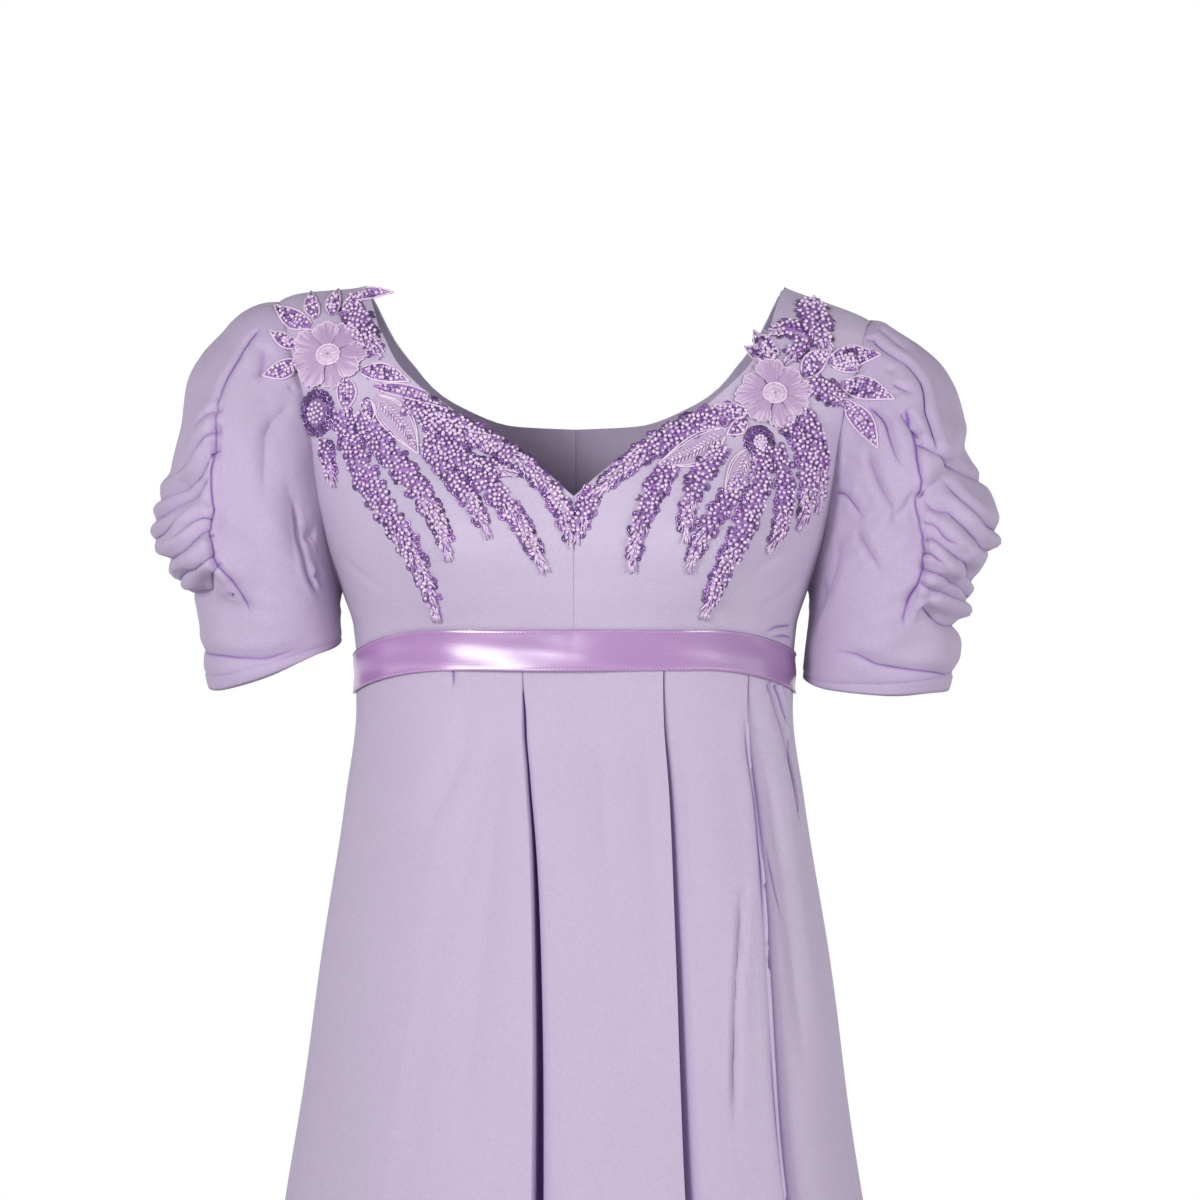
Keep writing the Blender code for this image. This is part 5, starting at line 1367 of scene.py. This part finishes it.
    def leaf(self, x, height, length, angle, width):
        """A leaf: stitched ground, a light corded edge, and beads in rows on either side of a
        vein."""
        forward, root = direction(angle), np.array([x, height])
        side = np.array([-forward[1], forward[0]])
        shares = np.linspace(0, 1, max(8, round(length / LEAF_STEP)))
        bend = LEAF_BEND * length * np.sin(math.pi * shares)
        spine = root + forward * (shares * length)[:, None] + side * bend[:, None]

        def wide_at(share):
            return width / 2 * np.sin(math.pi * (0.06 + 0.94 * share) ** 0.85)

        half = wide_at(shares)
        large = width > LARGE_LEAF
        self.strip(spine, np.maximum(half, 0.0002), 0.0004, LILAC if large else VIOLET)
        edge = np.concatenate([spine + side * half[:, None], (spine - side * half[:, None])[::-1]])
        middle = np.concatenate([spine, spine[::-1]])
        for inset, radius in ((1.0, 0.00062), (0.82, 0.00042)) if large else ((1.0, 0.00060),):
            self.thread(middle + (edge - middle) * inset, 0.0009, radius, tinted(CORD, 0.06))
        self.thread(spine[1:-1], 0.0010, 0.0003, tinted(THREAD, 0.06))
        for place in np.arange(0.10, 0.92, LEAF_ROOM / length):
            middle = (root + forward * place * length
                      + side * LEAF_BEND * length * math.sin(math.pi * place))
            wide = wide_at(place)
            for hand in (-1, 1):
                if large and wide > 0.0035:
                    self.bugle(middle + hand * side * 0.0006, angle + hand * 42,
                               min(0.0036, 0.6 * wide), 0.0012, tinted(THREAD))
                reach = 0.0010
                while reach < wide - 0.0009 and not large:
                    spot = middle + hand * side * (reach + jitter(0.0003))
                    spot = spot + forward * jitter(0.0008)
                    if draw.random() < 0.80:
                        self.seed(spot, 0.0016, pearl_tint())
                    else:
                        self.sequin(spot, 0.0009, hand * side, sequin_tint(0.5))
                    reach += LEAF_BEAD
            if large and draw.random() < 0.75:
                self.seed(middle, 0.0015, pearl_tint())
        for place in () if large else (0.12, 0.5):
            spot = root + forward * place * length + side * jitter(0.3) * width / 2
            self.sequin(spot, 0.0011, side * jitter(1.0), sequin_tint(0.1))

    def petal(self, middle, size, index):
        """A ragged petal of radial satin stitch with a light edge."""
        centre = TURN * index / PETALS + 0.2 + jitter(0.06)
        spread = math.pi / PETALS * 1.24
        outer = 1.0 + jitter(0.10)
        lift = 0.0010 + 0.0006 * (index % 3)
        tips = 1 - 0.22 * np.abs(np.linspace(-1, 1, STRANDS + 1)) ** 2.2
        tips = tips * (1 + draw.uniform(-0.07, 0.03, STRANDS + 1))
        shares = np.linspace(0.30, 1.0, 7)
        cells, outs = np.zeros((2, len(shares), STRANDS + 1, 3))
        for row, share in enumerate(shares):
            for strand, tip in enumerate(tips):
                place = -1 + 2 * strand / STRANDS
                turn = centre + place * spread * (0.55 + 0.45 * share ** 0.6)
                reach = outer * share * (1 + (tip - 1) * share ** 3)
                rise = lift + 0.0005 * math.sin(math.pi * share) * (1 - place * place)
                cells[row, strand], outs[row, strand] = self.lay(
                    *(middle + reach * (way(turn) * size)), rise + 0.00022 * (strand % 2))
        stitched = draw.uniform(0.50, 1.15, (1, STRANDS + 1, 1))
        light = smoothstep((shares[:, None, None] - stitched) / 0.12)
        shade = np.array(PETAL) * draw.uniform(0.80, 1.15, (1, STRANDS + 1, 1))
        self.ground.grid(cells, shade + light * (np.array(PETAL_EDGE) - shade))
        self.threads.tube(cells[-1] + FRILL * outs[-1], 0.00040, tinted(CORD, 0.06))
        for flank in (0, STRANDS):
            self.threads.tube(cells[2:, flank] + (0, -FRILL, 0), 0.0003, tinted(THREAD, 0.06))

    def flower(self, x, height, *size):
        """An embroidered flower: petals round a disc with a corded rim and a stitched middle."""
        middle = np.array([x, height])
        for index in range(PETALS):
            self.petal(middle, size, index)
        rings, turns = np.linspace(0.02, 0.30, 6), np.linspace(0, TURN, 49)
        disc, outs = self.path([middle + ring * (way(turn) * size)
                                for ring in rings for turn in turns])
        domed = np.repeat(0.0020 + 0.0011 * np.sqrt(1 - 0.9 * (rings / rings[-1]) ** 2),
                          len(turns))
        disc = (disc + domed[:, None] * outs).reshape(len(rings), len(turns), 3)
        self.ground.grid(disc, np.array(PETAL_EDGE) * draw.uniform(0.72, 1.10, (1, len(turns), 1))
                         * np.linspace(0.80, 1.05, len(rings))[:, None, None])
        for place, radius in ((-1, 0.00048), (3, 0.00030)):
            self.threads.tube(disc[place], radius, tinted(CORD, 0.04))
        for _ in range(FLOWER_STITCHES):
            turn, ring = jitter(math.pi), 0.06 + 0.20 * draw.random()
            flat, step = middle + ring * (way(turn) * size), way(turn) * 0.0010
            self.thread([flat - step, flat, flat + step], 0.0030, 0.00030, tinted(CORD, 0.08), 4)

    def stud(self, x, height, half_width, half_height, dark):
        """A cluster of pearls in a ring of overlapping sequins."""
        middle, size = np.array([x, height]), (half_width, half_height)
        for share, count, lift in STUD_SEQUINS:
            for turn in circle(count) + jitter(0.2):
                self.sequin(middle + share * way(turn) * size, lift, way(turn), sequin_tint(dark))
        for share, count in STUD_PEARLS:
            for turn in circle(count) + jitter(0.4):
                self.seed(middle + share * (way(turn) * size), 0.0030 - 0.002 * share,
                          tinted(PEARL))
        shares = np.linspace(-1, 1, 9)
        spine = middle + np.stack([0 * shares, shares * half_height * 0.9], -1)
        self.strip(spine, half_width * np.sqrt(np.maximum(1 - shares ** 2, 0.02)) * 0.9, 0.0012,
                   STUD_GROUND)


def make_motif(name, materials, *pieces):
    """The motif of one shoulder, as four pieces on its cloth."""
    motif = Motif(*pieces)
    for row in SPRAYS[name]:
        motif.spray(*row)
    for row in LEAVES[name]:
        motif.leaf(*row)
    motif.flower(*FLOWERS[name])
    motif.stud(*STUDS[name], 0.75 if name == "right" else 0.15)
    for kind, material in materials.items():
        piece = getattr(motif, kind).piece("applique_%s_%s" % (name, kind), material)
        if kind == "ground":
            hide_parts("applique_" + name)


# ---- ribbon and stitching ----

# Where the satin's highlight lies, how wide it is, and how flat it lies there along its edges.
GLEAM_X, GLEAM_SPREAD, GLEAM_LIFT = -0.058, 0.034, 0.0015
RIBBON_ROUND, RIBBON_ACROSS = 300, 17    # columns and rows of its mesh
RIBBON_RISE = 0.0019             # over the body
STITCH_RISE = 0.00022            # of a stitch's middle
SLEEVE_ROOM, RIBBON_ROOM, SKIRT_ROOM = 0.0028, 0.0023, 0.0040    # from a stitch to the next
SLEEVE_ROW, RIBBON_ROW = 0.965, 0.455    # how far down, and how far out from the middle


def make_ribbon(material):
    """Satin band round the waist seam, slightly full across its height, with woven edges."""
    angle = circle(RIBBON_ROUND)
    angle = np.where(angle > math.pi, angle - TURN, angle)
    share = np.linspace(-0.5, 0.5, RIBBON_ACROSS)[:, None]
    height = waist(angle)[None] + RIBBON_HEIGHT * share
    angle = np.broadcast_to(angle, height.shape)
    edge = np.exp(-((0.5 - np.abs(share)) / 0.035) ** 2)
    full = 0.0002 * (1 - (2 * share) ** 2)
    wave = 0.00035 * np.sin(5 * angle + 9 * share) + 0.00025 * np.sin(11 * angle + 1)
    gleam = (body(angle, height)[..., 0] - GLEAM_X) / GLEAM_SPREAD
    wave += (GLEAM_LIFT * gleam ** 2 * np.exp(-gleam ** 2) * (8 * share ** 2 - 0.8)
             * (np.cos(angle) > 0))
    rise = (RIBBON_RISE + full + 0.0004 * edge + wave)[..., None]
    heap = Heap()
    heap.grid(body(angle, height) + rise * body_out(angle, height), ORCHID, closed=True)
    data = heap.mesh("waist_ribbon")
    # Its UV map runs round it and across, for the way that the satin's threads lie.
    layer = data.uv_layers.new(name="round")
    for face in data.polygons:
        places = [divmod(data.loops[loop].vertex_index, RIBBON_ROUND)
                  for loop in face.loop_indices]
        joins = {0, RIBBON_ROUND - 1} <= {column for _, column in places}
        for loop, (row, column) in zip(face.loop_indices, places):
            column = RIBBON_ROUND if joins and column == 0 else column
            layer.data[loop].uv = (column / RIBBON_ROUND, row / RIBBON_ACROSS)
    return shell("waist_ribbon", data, material, SATIN)


def make_stitches(rows, material):
    """Rows of machine stitches, each laid on a piece along a path with its own spacing."""
    heap = Heap()
    for piece, path, spacing in rows:
        tree, length = tree_of(piece), lengths(path)
        for start in np.arange(0, length[-1] - spacing, spacing):
            line, outs = [], []
            for share, lift in ((0, 0), (0.35, STITCH_RISE), (0.7, 0)):
                spot, out, _, _ = tree.find_nearest(Vector([
                    np.interp(start + spacing * share, length, path[:, axis])
                    for axis in range(3)]))
                line.append(spot + lift * out)
                outs.append(out)
            heap.tube(np.array(line), STITCH, tinted(STITCH_TINT, 0.05), 4, np.array(outs))
    return heap.piece("stitching", material)


def edge_rows(arms, ribbon, panels):
    """Where the stitches run: the sleeves' hems, both edges of the ribbon and the skirt's hem."""
    around = np.linspace(-math.pi, math.pi, 121)
    for name, arm in arms.items():
        yield arm, sleeve(name, np.degrees(around), SLEEVE_ROW + 0 * around), SLEEVE_ROOM
    for edge in (-RIBBON_ROW, RIBBON_ROW):
        place = np.stack([around, waist(around) + RIBBON_HEIGHT * edge], -1)
        yield ribbon, raised(place, 0.002), RIBBON_ROOM
    for panel, first, last in panels:
        spread = np.radians(np.linspace(first + 0.3, last - 0.3, 121))
        yield panel, skirt(spread, HEM + HEM_STITCHES + 0 * spread), SKIRT_ROOM


# ---- the gown ----


def make_gown():
    """Every piece of the gown."""
    # The front bodice's crepe has painted light in lighter colours, and more glint.
    lit_bodice_crepe = crepe("lilac_crepe_bodice_painted_lighter", LIT_BODICE_LILAC, LIT_BODICE_LILAC_DARKER, 0.20)
    plain_crepe = crepe("lilac_crepe", LILAC, LILAC_SHADE, 0.0)
    # The sleeves' crepe has painted shade in darker, deeper colours.
    shaded_sleeve_crepe = crepe("lilac_crepe_sleeve_painted_darker", SHADED_SLEEVE_LILAC, SHADED_SLEEVE_LILAC_DARKER, 0.0)
    materials = {
        "ground": embroidery(),
        "beads": beadwork("pearl_beads", 0.22, 0.6, 900, Specular_IOR_Level=0.6),
        "sequins": beadwork("cupped_sequins", 0.18, 0.5, 500, Metallic=0.35),
        "threads": beadwork("embroidery_thread", 0.55, 0.0, 1600, Sheen_Weight=0.3),
    }
    arms, panels = {}, []
    for name in ("left", "right"):
        bodice = make_bodice(name, False, lit_bodice_crepe)
        back = make_bodice(name, True, plain_crepe)
        arm = arms[name] = make_sleeve(name, shaded_sleeve_crepe)
        make_motif(name, materials, bodice, arm)
    ribbon = make_ribbon(satin())
    for name, first, last, wide in (("skirt_front", -90, 90, 1.12),
                                    ("skirt_back_left", 90, 180, 0.60),
                                    ("skirt_back_right", -180, -90, 0.60)):
        panel = make_skirt(name, first, last, plain_crepe)
        panels.append((panel, first, last))
    make_stitches(edge_rows(arms, ribbon, panels), materials["threads"])


# ---- studio ----

AMBIENT = (0.17, 0.165, 0.18)
BAND = (0.19, 0.30)              # the white background ends between these heights
FLOOR_RADIUS, FLOOR_DROP = 3.6, 0.0005
CAMERA, LENS, SENSOR = (0.01575, -2.2, -0.198), 104.8, 36
# Each light's place, what it points at, its size and its power. The last is a low one that only
# the satin takes, for the highlight across it.
LIGHTS = {
    "key": ((-1.25, -2.00, 0.40), (0, 0, -0.25), 0.50, 30),
    "fill": ((2.05, -1.90, 0.10), (0, 0, -0.35), 1.40, 26),
    "gleam": ((-1.00, -2.07, -1.02), (-0.05, -0.1, -0.24), 1.70, 56),
}


def make_background():
    """An even white background, and the ambient light that comes from above and below it."""
    world = bpy.data.worlds.new("studio")
    bpy.context.scene.world = world
    world.use_nodes = True
    tree = world.node_tree
    place, split, height, band = (tree.nodes.new("ShaderNode" + kind) for kind in (
        "TexCoord", "SeparateXYZ", "Math", "ValToRGB"))
    height.operation = "ABSOLUTE"
    for element, at, colour in zip(band.color_ramp.elements, BAND, ((1, 1, 1), AMBIENT)):
        element.position, element.color = at, (*colour, 1)
    for source, target in ((place.outputs["Generated"], split.inputs[0]),
                           (split.outputs["Z"], height.inputs[0]),
                           (height.outputs[0], band.inputs["Fac"]),
                           (band.outputs["Color"], tree.nodes["Background"].inputs["Color"])):
        tree.links.new(source, target)


def make_studio():
    """Pale floor, soft light from the front left, a white background and the camera."""
    mesh = bmesh.new()
    bmesh.ops.create_circle(mesh, cap_ends=True, segments=96, radius=FLOOR_RADIUS)
    data = bpy.data.meshes.new("floor")
    mesh.to_mesh(data)
    mesh.free()
    nodes = Nodes("pale_floor", (0.80, 0.80, 0.80), 0.7)
    tone = nodes.mix(nodes.noise(3), (0.78, 0.78, 0.78), (0.84, 0.84, 0.84))
    floor = add_object("floor", data, nodes.finish(tone))
    floor.location.z = HEM - FLOOR_DROP
    make_background()

    for name, (place, at, size, power) in LIGHTS.items():
        light = bpy.data.lights.new(name, "AREA")
        light.size, light.energy = size, power
        lamp = add_object(name, light)
        lamp.location = place
        lamp.rotation_euler = (Vector(at) - lamp.location).to_track_quat("-Z", "Y").to_euler()
    satin_only = bpy.data.collections.new("satin_only")
    satin_only.objects.link(bpy.data.objects["waist_ribbon_cloth"])
    lamp.light_linking.receiver_collection = satin_only

    lens = bpy.data.cameras.new("camera")
    lens.sensor_width, lens.lens = SENSOR, LENS
    camera = add_object("camera", lens)
    camera.location = CAMERA
    camera.rotation_euler = (math.radians(90), 0, 0)
    bpy.context.scene.camera = camera
    bpy.context.scene.view_settings.view_transform = "Standard"


make_gown()
make_studio()
